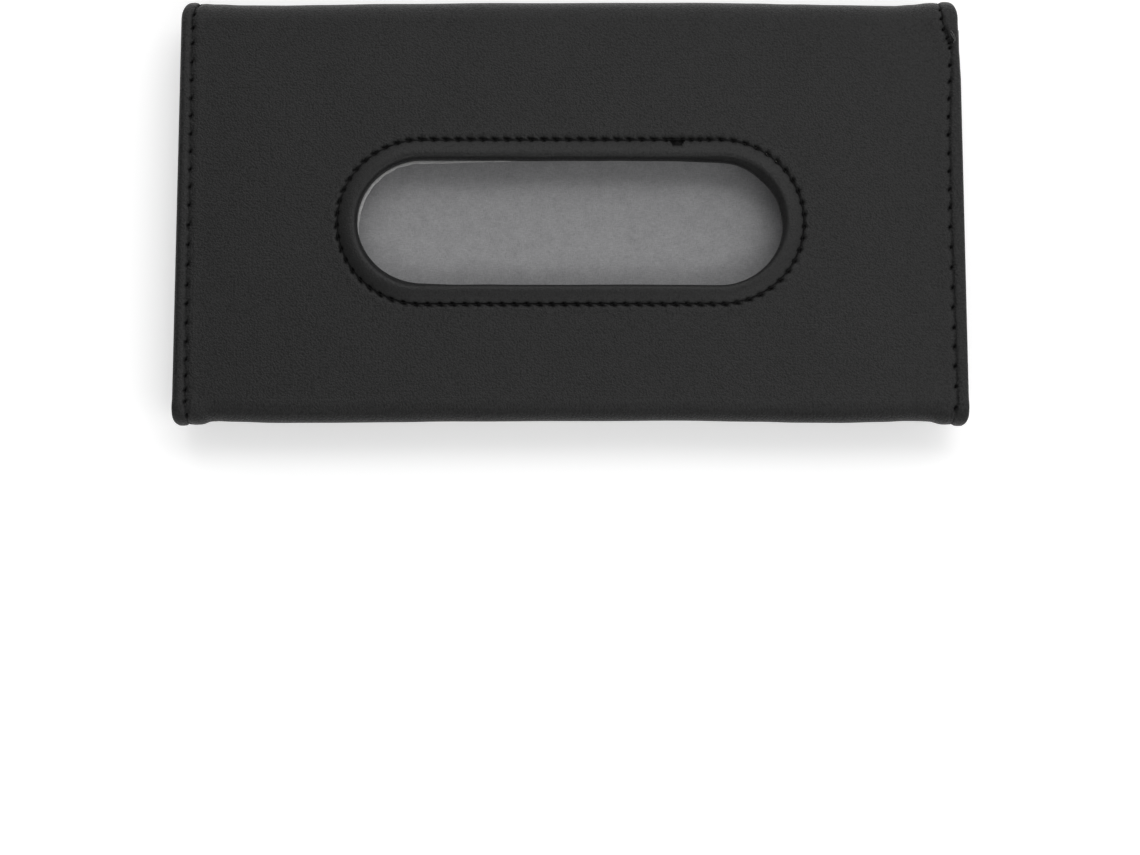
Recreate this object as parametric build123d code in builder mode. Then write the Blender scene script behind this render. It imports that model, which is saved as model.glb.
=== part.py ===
import os

from build123d import *

# Car tissue holder, lying on its strap with the window up.
# X runs along the case, +Y towards its top fold, +Z out of the front face.

# Case
case_width = 229.0  # front panel, hem to hem
case_height = 126.4  # over both folds, at the hems
case_thickness = 15.0  # outer face of the cover to front face
hem_width = 12.0  # leather turned under along an edge
hem_proud = 0.6  # a fold stands out this much more where its hem doubles it
corner_round = 2.6  # corners of the case, seen from the front
edge_round = 1.2  # long outer edges of the front and the cover

# Sheets
leather = 0.9
board = 1.4
lining = 0.5  # the turned hems are skived to this too
gusset_sheet = 0.8

# Window and its rolled rim
window_length = 124.4
window_height = 37.3
window_drop = 5.0  # its centre lies this far below the middle of the case
rim_width = 5.6
rim_height = 0.8
rim_outer_round = 0.7
rim_inner_round = 1.2
rim_turn = 4.0  # leather turned under the lining, inside the case

# Closing lip behind the bottom fold, and its magnets
lip_reach = 26.0
lip_board = 1.2
lip_gap = 0.3  # between the lip and the closed cover
magnet_diameter = 14.0
magnet_spacing = 140.0
magnet_setback = 12.0  # centre of a magnet from the lip's free edge
magnet_gap = 0.1

# End gussets
gusset_peek = 0.5  # edge of a gusset that shows beyond the hem
gusset_flange = 8.5  # sewn under the hem
gusset_tuck = 9.0  # how far its fold reaches into the case
gusset_gap = 0.3  # between a gusset's fold and the end of the lip
gusset_start = 1.5  # from the top fold's tangent line to the gusset's end
gusset_bend = 1.2

# Back cover
cover_inset = 0.7  # each end, inside the front panel's edge
cover_setback = 2.6  # lower edge, inside the bottom fold's crown
crease_gap = 0.4

# Strap
strap_width = 40.0
webbing = 1.3
loop_pile = 1.0
hook_pile = 1.0
pile_gap = 0.3
strap_top_setback = 8.0  # strap's fold from the cover's crease
strap_base_length = 100.0
tail_short = 4.0  # folded, the tail ends this far before its base
tail_round = 7.0
loop_length = 42.0
loop_width = 35.0
hook_length = 30.0
hook_width = 33.0
hook_setback = 12.0  # hook patch from the tail's free end
patch_round = 2.0
anchor_length = 10.0
anchor_foot = 7.0
anchor_top_setback = 3.0  # upper anchor from the strap's fold
tab_width = 24.0
tab_length = 14.0
tab_overlap = 5.0
tab_round = 5.0

overrun = 2.0  # cuts run this far past what they cut

# Heights
strap_stack = webbing + loop_pile + pile_gap + hook_pile + webbing
cover_bottom = strap_stack
cover_wall = leather + board + lining
cover_top = cover_bottom + cover_wall
front_top = cover_bottom + case_thickness
front_wall = leather + board + lining
front_under = front_top - front_wall
lip_bottom = cover_top + lip_gap
lip_wall = leather + lip_board + lining
lip_top = lip_bottom + lip_wall

# Places along Y
crown = case_height / 2 - hem_proud
top_radius = case_thickness / 2
bottom_radius = (front_top - lip_bottom) / 2
top_tangent = crown - top_radius
bottom_tangent = bottom_radius - crown
panel_length = top_tangent - bottom_tangent
lip_edge = bottom_tangent + lip_reach
magnet_y = lip_edge - magnet_setback
cover_low = cover_setback - crown
cover_high = top_tangent - crease_gap / 2
strap_fold = top_tangent - strap_top_setback
base_end = strap_fold - strap_base_length
tail_start = strap_fold - crease_gap / 2
tail_length = strap_base_length - tail_short
tail_end = tail_start - tail_length

# Half widths
half_width = case_width / 2
half_cover = half_width - cover_inset
gusset_edge = half_width + gusset_peek
fold_inner = gusset_edge - gusset_tuck
half_lip = fold_inner - gusset_sheet - gusset_gap


def window(margin, height):
    """The window's outline at a height, widened all round by a margin."""
    with BuildSketch(Plane.XY.offset(height)) as opening:
        with Locations((0, -window_drop)):
            SlotOverall(window_length + 2 * margin, window_height + 2 * margin)
    return opening.sketch


def fold_shell(radius, tangent, middle, side):
    """Leather bent half round an axis along X, thicker and prouder over its end hems."""
    inner_radius = radius - leather - lining
    keep = Align.MIN if side > 0 else Align.MAX
    with BuildPart() as shell:
        with BuildSketch(Plane.YZ):
            with Locations((tangent, middle)):
                Circle(radius)
                Circle(radius - leather, mode=Mode.SUBTRACT)
                Rectangle(radius, 2 * radius, align=(keep, Align.CENTER), mode=Mode.INTERSECT)
        extrude(amount=half_width, both=True)
        for end in (-1, 1):
            hem_start = end * (half_width - hem_width)
            with BuildSketch(Plane.YZ.offset(hem_start)):
                with Locations((tangent + side * hem_proud, middle)):
                    Circle(radius)
                with Locations((tangent, middle)):
                    Rectangle(radius + hem_proud, 2 * radius, align=(keep, Align.CENTER), mode=Mode.INTERSECT)
                    Rectangle(hem_proud, 2 * radius, align=(keep, Align.CENTER))
                    Circle(inner_radius, mode=Mode.SUBTRACT)
            extrude(amount=end * hem_width)
        with BuildSketch(Plane.XY.offset(middle - radius - overrun)):
            RectangleRounded(case_width, case_height, corner_round)
        extrude(amount=2 * (radius + overrun), mode=Mode.INTERSECT)
    return shell.part


def fold_lining(radius, tangent, middle, side):
    """Lining glued inside a fold, between its two hems."""
    keep = Align.MIN if side > 0 else Align.MAX
    outer = radius - leather
    with BuildPart() as shell:
        with BuildSketch(Plane.YZ):
            with Locations((tangent, middle)):
                Circle(outer)
                Circle(outer - lining, mode=Mode.SUBTRACT)
                Rectangle(radius, 2 * radius, align=(keep, Align.CENTER), mode=Mode.INTERSECT)
        extrude(amount=half_width - hem_width, both=True)
    return shell.part


# Front panel: leather wrapped round a board, with its end hems turned under
with BuildPart() as front_skin:
    with BuildSketch(Plane.XZ.offset(-top_tangent)) as wrap:
        with Locations((0, front_top - front_wall / 2)):
            Rectangle(case_width, front_wall)
        fillet(wrap.vertices().group_by(Axis.Y)[-1], edge_round)
        with Locations((0, front_top - leather - board / 2)):
            Rectangle(case_width - 2 * leather, board, mode=Mode.SUBTRACT)
        with Locations((0, front_under + lining / 2)):
            Rectangle(case_width - 2 * hem_width, lining, mode=Mode.SUBTRACT)
    extrude(amount=panel_length)
    extrude(window(leather, front_under - overrun), amount=front_wall + 2 * overrun, mode=Mode.SUBTRACT)
front_skin.part.label = "front_skin"

with BuildPart() as front_board:
    with BuildSketch(Plane.XY.offset(front_top - leather - board)):
        with Locations((0, bottom_tangent)):
            Rectangle(case_width - 2 * leather, panel_length, align=(Align.CENTER, Align.MIN))
    extrude(amount=board)
    extrude(window(leather, front_under - overrun), amount=front_wall + 2 * overrun, mode=Mode.SUBTRACT)
front_board.part.label = "front_board"

with BuildPart() as front_lining:
    with BuildSketch(Plane.XY.offset(front_under)):
        with Locations((0, bottom_tangent)):
            Rectangle(case_width - 2 * hem_width, panel_length, align=(Align.CENTER, Align.MIN))
    extrude(amount=lining)
    extrude(window(leather, front_under - overrun), amount=front_wall + 2 * overrun, mode=Mode.SUBTRACT)
front_lining.part.label = "front_lining"

# Rolled rim: a leather strip over the front, down through the window and under the lining
with BuildPart() as window_binding:
    extrude(window(rim_width, front_top), amount=rim_height)
    fillet(window_binding.faces().sort_by(Axis.Z)[-1].edges(), rim_outer_round)
    extrude(window(leather, front_under), amount=front_wall)
    extrude(window(rim_turn, front_under - lining), amount=lining)
    extrude(window(0, front_under - overrun), amount=front_wall + rim_height + 2 * overrun, mode=Mode.SUBTRACT)
    fillet(window_binding.faces().sort_by(Axis.Z)[-1].inner_wires()[0].edges(), rim_inner_round)
window_binding.part.label = "window_binding"

# Folds, bent from the same leather as the front
with BuildPart() as top_fold:
    add(fold_shell(top_radius, top_tangent, front_top - top_radius, 1))
    with BuildSketch(Plane.XY.offset(cover_bottom - overrun)):
        with Locations((0, top_tangent)):
            Rectangle(case_width + overrun, crease_gap, align=(Align.CENTER, Align.CENTER))
    extrude(amount=top_radius + overrun, mode=Mode.SUBTRACT)
top_fold.part.label = "top_fold"

with BuildPart() as top_fold_lining:
    add(fold_lining(top_radius, top_tangent, front_top - top_radius, 1))
    with BuildSketch(Plane.XY.offset(cover_bottom - overrun)):
        with Locations((0, top_tangent)):
            Rectangle(case_width + overrun, crease_gap, align=(Align.CENTER, Align.CENTER))
    extrude(amount=top_radius + overrun, mode=Mode.SUBTRACT)
top_fold_lining.part.label = "top_fold_lining"

with BuildPart() as bottom_fold:
    add(fold_shell(bottom_radius, bottom_tangent, front_top - bottom_radius, -1))
bottom_fold.part.label = "bottom_fold"

with BuildPart() as bottom_fold_lining:
    add(fold_lining(bottom_radius, bottom_tangent, front_top - bottom_radius, -1))
bottom_fold_lining.part.label = "bottom_fold_lining"

# Closing lip: the leather comes back inside the cover, round a board of its own
with BuildPart() as lip_skin:
    with BuildSketch(Plane.XY.offset(lip_bottom)):
        with Locations((0, bottom_tangent)):
            Rectangle(2 * half_lip, lip_reach, align=(Align.CENTER, Align.MIN))
    extrude(amount=lip_wall)
    with BuildSketch(Plane.XY.offset(lip_bottom + leather)):
        with Locations((0, bottom_tangent)):
            Rectangle(2 * (half_lip - leather), lip_reach - leather, align=(Align.CENTER, Align.MIN))
    extrude(amount=lip_board, mode=Mode.SUBTRACT)
    with BuildSketch(Plane.XY.offset(lip_top - lining)):
        with Locations((0, bottom_tangent)):
            Rectangle(2 * (half_lip - hem_width), lip_reach - hem_width, align=(Align.CENTER, Align.MIN))
    extrude(amount=lining, mode=Mode.SUBTRACT)
lip_skin.part.label = "lip_skin"

with BuildPart() as lip_stiffener:
    with BuildSketch(Plane.XY.offset(lip_bottom + leather)):
        with Locations((0, bottom_tangent)):
            Rectangle(2 * (half_lip - leather), lip_reach - leather, align=(Align.CENTER, Align.MIN))
        with Locations((-magnet_spacing / 2, magnet_y), (magnet_spacing / 2, magnet_y)):
            Circle(magnet_diameter / 2 + magnet_gap, mode=Mode.SUBTRACT)
    extrude(amount=lip_board)
lip_stiffener.part.label = "lip_board"

with BuildPart() as lip_lining:
    with BuildSketch(Plane.XY.offset(lip_top - lining)):
        with Locations((0, bottom_tangent)):
            Rectangle(2 * (half_lip - hem_width), lip_reach - hem_width, align=(Align.CENTER, Align.MIN))
    extrude(amount=lining)
lip_lining.part.label = "lip_lining"

with BuildPart() as lip_magnets:
    with BuildSketch(Plane.XY.offset(lip_bottom + leather)):
        with Locations((-magnet_spacing / 2, magnet_y), (magnet_spacing / 2, magnet_y)):
            Circle(magnet_diameter / 2)
    extrude(amount=lip_board)
lip_magnets.part.label = "lip_magnets"

# Gussets: a bellows fold closes each end, sewn under the hem, with its foot beside the lip
gusset_top = front_under
gusset_low = lip_bottom
gusset_middle = (gusset_top + gusset_low) / 2
gussets = []
for side, name in ((-1, "left_gusset"), (1, "right_gusset")):
    with BuildPart() as gusset:
        with BuildSketch(Plane.XZ.offset(gusset_start - top_tangent)):
            with BuildLine():
                bellows = FilletPolyline(
                    (side * (gusset_edge - gusset_flange), gusset_top),
                    (side * gusset_edge, gusset_top),
                    (side * gusset_edge, gusset_top - 2 * gusset_bend),
                    (side * fold_inner, gusset_middle + gusset_bend),
                    (side * fold_inner, gusset_middle - gusset_bend),
                    (side * half_cover, gusset_low + 2 * gusset_bend),
                    (side * half_cover, gusset_low),
                    (side * half_lip, gusset_low),
                    radius=gusset_bend,
                )
                offset(bellows, amount=gusset_sheet, side=Side.RIGHT if side > 0 else Side.LEFT)
            make_face()
        extrude(amount=panel_length - gusset_start)
    gusset.part.label = name
    gussets.append(gusset.part)

# Back cover: leather wrapped round a board on three sides, lined inside
cover_length = cover_high - cover_low
with BuildPart() as cover_skin:
    with BuildSketch(Plane.XY.offset(cover_bottom)) as outline:
        with Locations((0, cover_low)):
            Rectangle(2 * half_cover, cover_length, align=(Align.CENTER, Align.MIN))
        fillet(outline.vertices().group_by(Axis.Y)[0], corner_round)
    extrude(amount=cover_wall)
    fillet(cover_skin.faces().sort_by(Axis.Z)[0].edges().sort_by(Axis.Y)[:-1], edge_round / 2)
    with BuildSketch(Plane.XY.offset(cover_bottom + leather)):
        with Locations((0, cover_high)):
            Rectangle(2 * (half_cover - leather), cover_length - leather, align=(Align.CENTER, Align.MAX))
    extrude(amount=board, mode=Mode.SUBTRACT)
    with BuildSketch(Plane.XY.offset(cover_top - lining)):
        with Locations((0, cover_high)):
            Rectangle(2 * (half_cover - hem_width), cover_length - hem_width, align=(Align.CENTER, Align.MAX))
    extrude(amount=lining, mode=Mode.SUBTRACT)
cover_skin.part.label = "cover_skin"

with BuildPart() as cover_board:
    with BuildSketch(Plane.XY.offset(cover_bottom + leather)):
        with Locations((0, cover_high)):
            Rectangle(2 * (half_cover - leather), cover_length - leather, align=(Align.CENTER, Align.MAX))
        with Locations((-magnet_spacing / 2, magnet_y), (magnet_spacing / 2, magnet_y)):
            Circle(magnet_diameter / 2 + magnet_gap, mode=Mode.SUBTRACT)
    extrude(amount=board)
cover_board.part.label = "cover_board"

with BuildPart() as cover_lining:
    with BuildSketch(Plane.XY.offset(cover_top - lining)):
        with Locations((0, cover_high)):
            Rectangle(2 * (half_cover - hem_width), cover_length - hem_width, align=(Align.CENTER, Align.MAX))
    extrude(amount=lining)
cover_lining.part.label = "cover_lining"

with BuildPart() as cover_magnets:
    with BuildSketch(Plane.XY.offset(cover_bottom + leather)):
        with Locations((-magnet_spacing / 2, magnet_y), (magnet_spacing / 2, magnet_y)):
            Circle(magnet_diameter / 2)
    extrude(amount=board)
cover_magnets.part.label = "cover_magnets"

# Strap base: webbing stitched down the cover, folded over at its upper end
strap_radius = strap_stack / 2
with BuildPart() as strap_base:
    with BuildSketch(Plane.YZ):
        with Locations((strap_fold, strap_radius)):
            Circle(strap_radius)
            Circle(strap_radius - webbing, mode=Mode.SUBTRACT)
            Rectangle(strap_radius, 2 * strap_radius, align=(Align.MIN, Align.CENTER), mode=Mode.INTERSECT)
        with Locations((strap_fold, cover_bottom)):
            Rectangle(strap_base_length, webbing, align=(Align.MAX, Align.MAX))
    extrude(amount=strap_width / 2, both=True)
    with BuildSketch(Plane.XY):
        with Locations((0, strap_fold)):
            Rectangle(strap_width + overrun, crease_gap)
    extrude(amount=strap_radius, mode=Mode.SUBTRACT)
strap_base.part.label = "strap_base"

with BuildPart() as loop_patch:
    with BuildSketch(Plane.XY.offset(cover_bottom - webbing - loop_pile)):
        with Locations((0, base_end + anchor_length + patch_round)):
            RectangleRounded(loop_width, loop_length, patch_round, align=(Align.CENTER, Align.MIN))
    extrude(amount=loop_pile)
loop_patch.part.label = "loop_patch"

# Leather anchors that bridge the strap and are stitched to the cover beside it
anchors = []
for name, start in (
    ("upper_anchor", strap_fold - anchor_top_setback - anchor_length),
    ("lower_anchor", base_end),
):
    with BuildPart() as anchor:
        with BuildSketch(Plane.XY.offset(cover_bottom - webbing - leather)):
            with Locations((0, start)):
                Rectangle(strap_width + 2 * leather, anchor_length, align=(Align.CENTER, Align.MIN))
        extrude(amount=webbing + leather)
        with BuildSketch(Plane.XY.offset(cover_bottom - leather)):
            with Locations((0, start)):
                Rectangle(strap_width + 2 * anchor_foot, anchor_length, align=(Align.CENTER, Align.MIN))
        extrude(amount=leather)
        with BuildSketch(Plane.XY.offset(cover_bottom - webbing)):
            with Locations((0, start)):
                Rectangle(strap_width, anchor_length, align=(Align.CENTER, Align.MIN))
        extrude(amount=webbing, mode=Mode.SUBTRACT)
    anchor.part.label = name
    anchors.append(anchor.part)

# Strap tail: webbing that folds back over its base, with the hook patch inside it
with BuildPart() as strap_tail:
    with BuildSketch(Plane.XY) as outline:
        with Locations((0, tail_start)):
            Rectangle(strap_width, tail_length, align=(Align.CENTER, Align.MAX))
        fillet(outline.vertices().group_by(Axis.Y)[0], tail_round)
    extrude(amount=webbing)
strap_tail.part.label = "strap_tail"

with BuildPart() as hook_patch:
    with BuildSketch(Plane.XY.offset(webbing)):
        with Locations((0, tail_end + hook_setback)):
            RectangleRounded(hook_width, hook_length, patch_round, align=(Align.CENTER, Align.MIN))
    extrude(amount=hook_pile)
hook_patch.part.label = "hook_patch"

with BuildPart() as pull_tab:
    with BuildSketch(Plane.XY.offset(webbing)):
        with Locations((0, tail_end + tab_overlap)):
            RectangleRounded(tab_width, tab_length, tab_round, align=(Align.CENTER, Align.MAX))
    extrude(amount=leather)
pull_tab.part.label = "pull_tab"

pieces = [
    front_skin.part,
    front_board.part,
    front_lining.part,
    window_binding.part,
    top_fold.part,
    top_fold_lining.part,
    bottom_fold.part,
    bottom_fold_lining.part,
    lip_skin.part,
    lip_stiffener.part,
    lip_lining.part,
    lip_magnets.part,
    *gussets,
    cover_skin.part,
    cover_board.part,
    cover_lining.part,
    cover_magnets.part,
    strap_base.part,
    loop_patch.part,
    *anchors,
    strap_tail.part,
    hook_patch.part,
    pull_tab.part,
]

os.makedirs("parts", exist_ok=True)
for piece in pieces:
    export_step(piece, f"parts/{piece.label}.step")
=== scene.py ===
import math
import random

import bmesh
import bpy
import numpy as np
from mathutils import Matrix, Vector
from mathutils.geometry import delaunay_2d_cdt


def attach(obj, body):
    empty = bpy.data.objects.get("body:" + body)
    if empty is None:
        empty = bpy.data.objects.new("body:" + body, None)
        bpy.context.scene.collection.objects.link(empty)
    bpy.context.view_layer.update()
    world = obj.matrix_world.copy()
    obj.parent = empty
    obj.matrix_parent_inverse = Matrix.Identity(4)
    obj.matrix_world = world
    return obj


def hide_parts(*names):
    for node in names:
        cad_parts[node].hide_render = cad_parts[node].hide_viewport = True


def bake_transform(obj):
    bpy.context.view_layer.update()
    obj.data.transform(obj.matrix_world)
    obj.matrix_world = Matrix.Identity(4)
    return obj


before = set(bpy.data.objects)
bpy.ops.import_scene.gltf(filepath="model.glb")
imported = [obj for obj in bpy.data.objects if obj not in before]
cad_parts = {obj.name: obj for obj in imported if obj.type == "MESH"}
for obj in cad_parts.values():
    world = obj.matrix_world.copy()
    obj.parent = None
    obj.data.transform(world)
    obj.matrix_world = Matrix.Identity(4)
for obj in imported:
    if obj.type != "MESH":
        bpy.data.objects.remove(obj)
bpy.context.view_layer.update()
print("frame loaded")

# All lengths below are millimetres; meshes are scaled to metres when they are made.
mm = 0.001
case = {
    "halfWidth": 114.8,
    "crown": 62.6,
    "topRadius": 7.5,
    "bottomRadius": 5.95,
    "frontTop": 19.9,
    "coverBottom": 4.9,
    "wall": 2.8,  # leather, board and lining
    "foldWall": 1.4,  # leather and lining
    "leather": 0.85,
    "skived": 0.42,
    "lining": 0.45,
    "hem": 12.0,
    "edgeRound": 1.2,
    "innerRound": 0.6,
    "topCorner": (2.5, 7.4),  # rounding seen from the front, (across, along)
    "bottomCorner": (0.8, 1.8),
    "topBend": 7.0,  # radius of each fold on its front side
    "bottomBend": 4.6,
    "coverInset": 0.9,
    "crease": 2.8,  # half the leather that bends at the cover's hinge
}
topTangent = case["crown"] - case["topRadius"]
bottomTangent = case["bottomRadius"] - case["crown"]
frontLength = topTangent - bottomTangent
bottomArc = math.pi * case["bottomRadius"]
topArc = math.pi * case["topRadius"]
creaseAt = frontLength + topArc
coverLow = -60.0


# small helpers
def smooth(t):
    t = np.clip(t, 0, 1)
    return t * t * (3 - 2 * t)


def bell(distance, width):
    return np.exp(-((distance / width) ** 2))


def pairs(marks):
    return np.stack([marks[:-1], marks[1:]], -1)


def through(knots, x):
    # soft curve through given points
    xs = np.array([k[0] for k in knots], float)
    ys = np.array([k[1] for k in knots], float)
    x = np.clip(x, xs[0], xs[-1])
    i = np.clip(np.searchsorted(xs, x, side="right") - 1, 0, len(xs) - 2)
    return ys[i] + (ys[i + 1] - ys[i]) * smooth((x - xs[i]) / (xs[i + 1] - xs[i]))


def ripple(seed, x, y, waves):
    # gentle unevenness from a few waves in random directions
    draw = random.Random(seed)
    total = np.zeros(np.broadcast(x, y).shape)
    for length, height in waves:
        for _ in range(3):
            turn = draw.uniform(0, math.pi)
            shift = draw.uniform(0, 2 * math.pi)
            along = x * math.cos(turn) + y * math.sin(turn)
            total = total + height / 3 * np.sin(2 * math.pi * along / length + shift)
    return total


def bendPath(start, angle, runs, zero=0.0):
    # line in the Y-Z plane of straight runs and bends
    # angles are those of its outer side, from +Z towards +Y
    legs = []
    y, z = start
    at = zero
    for length, radius in runs:
        legs.append((at, y, z, angle, radius))
        if radius:
            turned = angle + length / radius
            y += radius * (math.sin(turned) - math.sin(angle))
            z += radius * (math.cos(turned) - math.cos(angle))
            angle = turned
        else:
            y += length * math.cos(angle)
            z -= length * math.sin(angle)
        at += length

    def place(v):
        v = np.asarray(v, float)
        ys, zs, angles = np.zeros(v.shape), np.zeros(v.shape), np.zeros(v.shape)
        for i, (begin, y0, z0, a0, radius) in enumerate(legs):
            on = (v >= begin) | (i == 0)
            run = v - begin
            if radius:
                a = a0 + run / radius
                newY = y0 + radius * (np.sin(a) - math.sin(a0))
                newZ = z0 + radius * (np.cos(a) - math.cos(a0))
            else:
                a = np.full(v.shape, a0)
                newY = y0 + run * math.cos(a0)
                newZ = z0 - run * math.sin(a0)
            ys, zs, angles = np.where(on, newY, ys), np.where(on, newZ, zs), np.where(on, a, angles)
        return ys, zs, np.sin(angles), np.cos(angles)

    return place


def gridFaces(rows, columns, closeRows=False, closeColumns=False):
    i = np.arange(rows if closeRows else rows - 1)[:, None]
    j = np.arange(columns if closeColumns else columns - 1)[None, :]
    nextI, nextJ = (i + 1) % rows, (j + 1) % columns
    corners = (i * columns + j, i * columns + nextJ, nextI * columns + nextJ, nextI * columns + j)
    return np.stack(np.broadcast_arrays(*corners), -1).reshape(-1, 4).tolist()


def tubeFaces(rows, columns):
    # a closed loop carried along its rows, with both ends filled
    ends = [list(range(columns)), list(range((rows - 1) * columns, rows * columns))[::-1]]
    return gridFaces(rows, columns, closeColumns=True) + ends


def fillFlat(points, edges=()):
    # triangles over flattened points; returns the points in the filler's own order
    vectors = [Vector((float(a), float(b))) for a, b in points]
    verts, _, faces, _, _, _ = delaunay_2d_cdt(vectors, list(edges), [], 0, 1e-6)
    return np.array([(v.x, v.y) for v in verts]), np.array(faces)


def storeValues(mesh, name, kind, field, values):
    mesh.attributes.new(name, kind, "POINT").data.foreach_set(field, values.astype(np.float32).ravel())


def makePiece(name, points, faces, material, body, stands=(), flat=None, ditch=None,
              thick=0.0, thin=None, bend=None, faceAway=None):
    mesh = bpy.data.meshes.new(name)
    points = np.asarray(points, float).reshape(-1, 3)
    mesh.from_pydata((points * mm).tolist(), [], [tuple(f) for f in faces])
    flat = points if flat is None else np.asarray(flat, float).reshape(-1, 3)
    storeValues(mesh, "flat", "FLOAT_VECTOR", "vector", flat)
    # the ditch attribute carries painted shade: how dark and sheenless each point is in seams, stitch holes and
    # the notch
    storeValues(mesh, "ditch", "FLOAT", "value", np.zeros(len(points)) if ditch is None else np.asarray(ditch))
    mesh.materials.append(material)
    if faceAway is not None:
        tidyFaces(mesh, faceAway)
    mesh.shade_smooth()
    piece = bpy.data.objects.new(name, mesh)
    bpy.context.scene.collection.objects.link(piece)
    if thick:
        solid = piece.modifiers.new("sheet", "SOLIDIFY")
        solid.thickness = thick * mm
        solid.offset = -1
        if thin is not None:
            group = piece.vertex_groups.new(name="full")
            full = np.flatnonzero(~np.asarray(thin).ravel())
            group.add(full.tolist(), 1.0, "REPLACE")
            solid.vertex_group = "full"
            solid.thickness_vertex_group = case["skived"] / case["leather"]
    if bend:
        bakeModifiers(piece)
        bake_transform(piece)
    else:
        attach(piece, body)
    if stands:
        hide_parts(*stands)
    return piece


def tidyFaces(mesh, away=None):
    # Turns the faces outwards. With away, points that coincide are merged too, and most of the piece's
    # surface ends up facing that way.
    work = bmesh.new()
    work.from_mesh(mesh)
    if away is not None:
        bmesh.ops.remove_doubles(work, verts=work.verts, dist=2e-6)
        bmesh.ops.dissolve_degenerate(work, edges=work.edges, dist=1e-6)
    bmesh.ops.recalc_face_normals(work, faces=work.faces)
    if away is not None:
        facing = sum((f.normal * f.calc_area() for f in work.faces), Vector())
        if facing.dot(Vector(away)) < 0:
            bmesh.ops.reverse_faces(work, faces=work.faces)
    work.to_mesh(mesh)
    work.free()


def bakeModifiers(piece):
    graph = bpy.context.evaluated_depsgraph_get()
    final = bpy.data.meshes.new_from_object(piece.evaluated_get(graph))
    piece.modifiers.clear()
    piece.data = final


# shader helpers
def addNode(tree, kind, inputs=(), **settings):
    made = tree.nodes.new(kind)
    for name, value in settings.items():
        setattr(made, name, value)
    for name, value in dict(inputs).items():
        if hasattr(value, "is_output"):
            tree.links.new(value, made.inputs[name])
        else:
            made.inputs[name].default_value = value
    return made


def calc(tree, operation, *values, clamp=False):
    made = addNode(tree, "ShaderNodeMath", dict(enumerate(values)), operation=operation, use_clamp=clamp)
    return made.outputs[0]


def plus(tree, a, b, clamp=False):
    return calc(tree, "ADD", a, b, clamp=clamp)


def minus(tree, a, b, clamp=False):
    return calc(tree, "SUBTRACT", a, b, clamp=clamp)


def times(tree, a, b):
    return calc(tree, "MULTIPLY", a, b)


def scaled(tree, vector, factor):
    return addNode(tree, "ShaderNodeVectorMath", {0: vector, "Scale": factor}, operation="SCALE").outputs[0]


def stretched(tree, vector, sizes):
    return addNode(tree, "ShaderNodeVectorMath", {0: vector, 1: sizes}, operation="MULTIPLY").outputs[0]


def noise(tree, vector, scale=1.0, detail=2.0, roughness=0.5):
    inputs = {"Vector": vector, "Scale": scale, "Detail": detail, "Roughness": roughness}
    return addNode(tree, "ShaderNodeTexNoise", inputs).outputs[0]


def spread(tree, value, low, high, newLow=0.0, newHigh=1.0):
    inputs = {"Value": value, "From Min": low, "From Max": high, "To Min": newLow, "To Max": newHigh}
    return addNode(tree, "ShaderNodeMapRange", inputs).outputs[0]


def makeGroup(name, values, outputs):
    # each group takes a place on the surface and some numbers, given with their usual values
    tree = bpy.data.node_groups.new(name, "ShaderNodeTree")
    tree.interface.new_socket("Vector", in_out="INPUT", socket_type="NodeSocketVector")
    for label, value in values.items():
        socket = tree.interface.new_socket(label, in_out="INPUT", socket_type="NodeSocketFloat")
        socket.default_value = value
    for label in outputs:
        tree.interface.new_socket(label, in_out="OUTPUT", socket_type="NodeSocketFloat")
    return tree, tree.nodes.new("NodeGroupInput").outputs, tree.nodes.new("NodeGroupOutput").inputs


def buildLeatherGrain():
    # pebbles parted by crease lines, with fine ridges over them and wide blotches
    tree, given, result = makeGroup(
        "leatherGrain", {"Pebble": 0.5, "Relief": 0.03}, ["Height", "Creases", "Crests", "Blotch"]
    )
    where = given["Vector"]
    small = scaled(tree, where, calc(tree, "DIVIDE", 1.0, given["Pebble"]))
    shift = scaled(tree, addNode(tree, "ShaderNodeTexNoise", {"Vector": small, "Scale": 0.7}).outputs[1], 0.9)
    moved = addNode(tree, "ShaderNodeVectorMath", {0: small, 1: shift}, operation="ADD").outputs[0]
    cellInputs = {"Vector": moved, "Scale": 1.0, "Smoothness": 0.4}
    pebble = addNode(tree, "ShaderNodeTexVoronoi", cellInputs, feature="SMOOTH_F1").outputs["Distance"]
    fine = noise(tree, small, 2.6, 3.0, 0.6)
    bend = calc(tree, "ABSOLUTE", minus(tree, noise(tree, small, 0.62, 2.0, 0.5), 0.5))
    ridge = spread(tree, bend, 0.0, 0.11, 1.0, 0.0)
    high = plus(tree, times(tree, fine, 0.9), times(tree, ridge, 0.45))
    high = minus(tree, high, pebble)
    tree.links.new(times(tree, high, given["Relief"]), result["Height"])
    tree.links.new(spread(tree, pebble, 0.35, 0.75), result["Creases"])
    tree.links.new(times(tree, ridge, spread(tree, fine, 0.3, 0.6)), result["Crests"])
    tree.links.new(noise(tree, where, 0.035, 3.0, 0.55), result["Blotch"])
    return tree


def buildStrayDust():
    # round specks, one in most cells of the spacing
    tree, given, result = makeGroup("strayDust", {"Spacing": 11.0, "Speck": 0.2}, ["Mask"])
    small = scaled(tree, given["Vector"], calc(tree, "DIVIDE", 1.0, given["Spacing"]))
    cells = addNode(tree, "ShaderNodeTexVoronoi", {"Vector": small, "Scale": 1.0})
    reach = calc(tree, "DIVIDE", given["Speck"], given["Spacing"])
    near = calc(tree, "LESS_THAN", cells.outputs["Distance"], reach)
    pick = addNode(tree, "ShaderNodeSeparateColor", {0: cells.outputs["Color"]}).outputs[0]
    tree.links.new(times(tree, near, calc(tree, "GREATER_THAN", pick, 0.45)), result["Mask"])
    return tree


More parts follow.
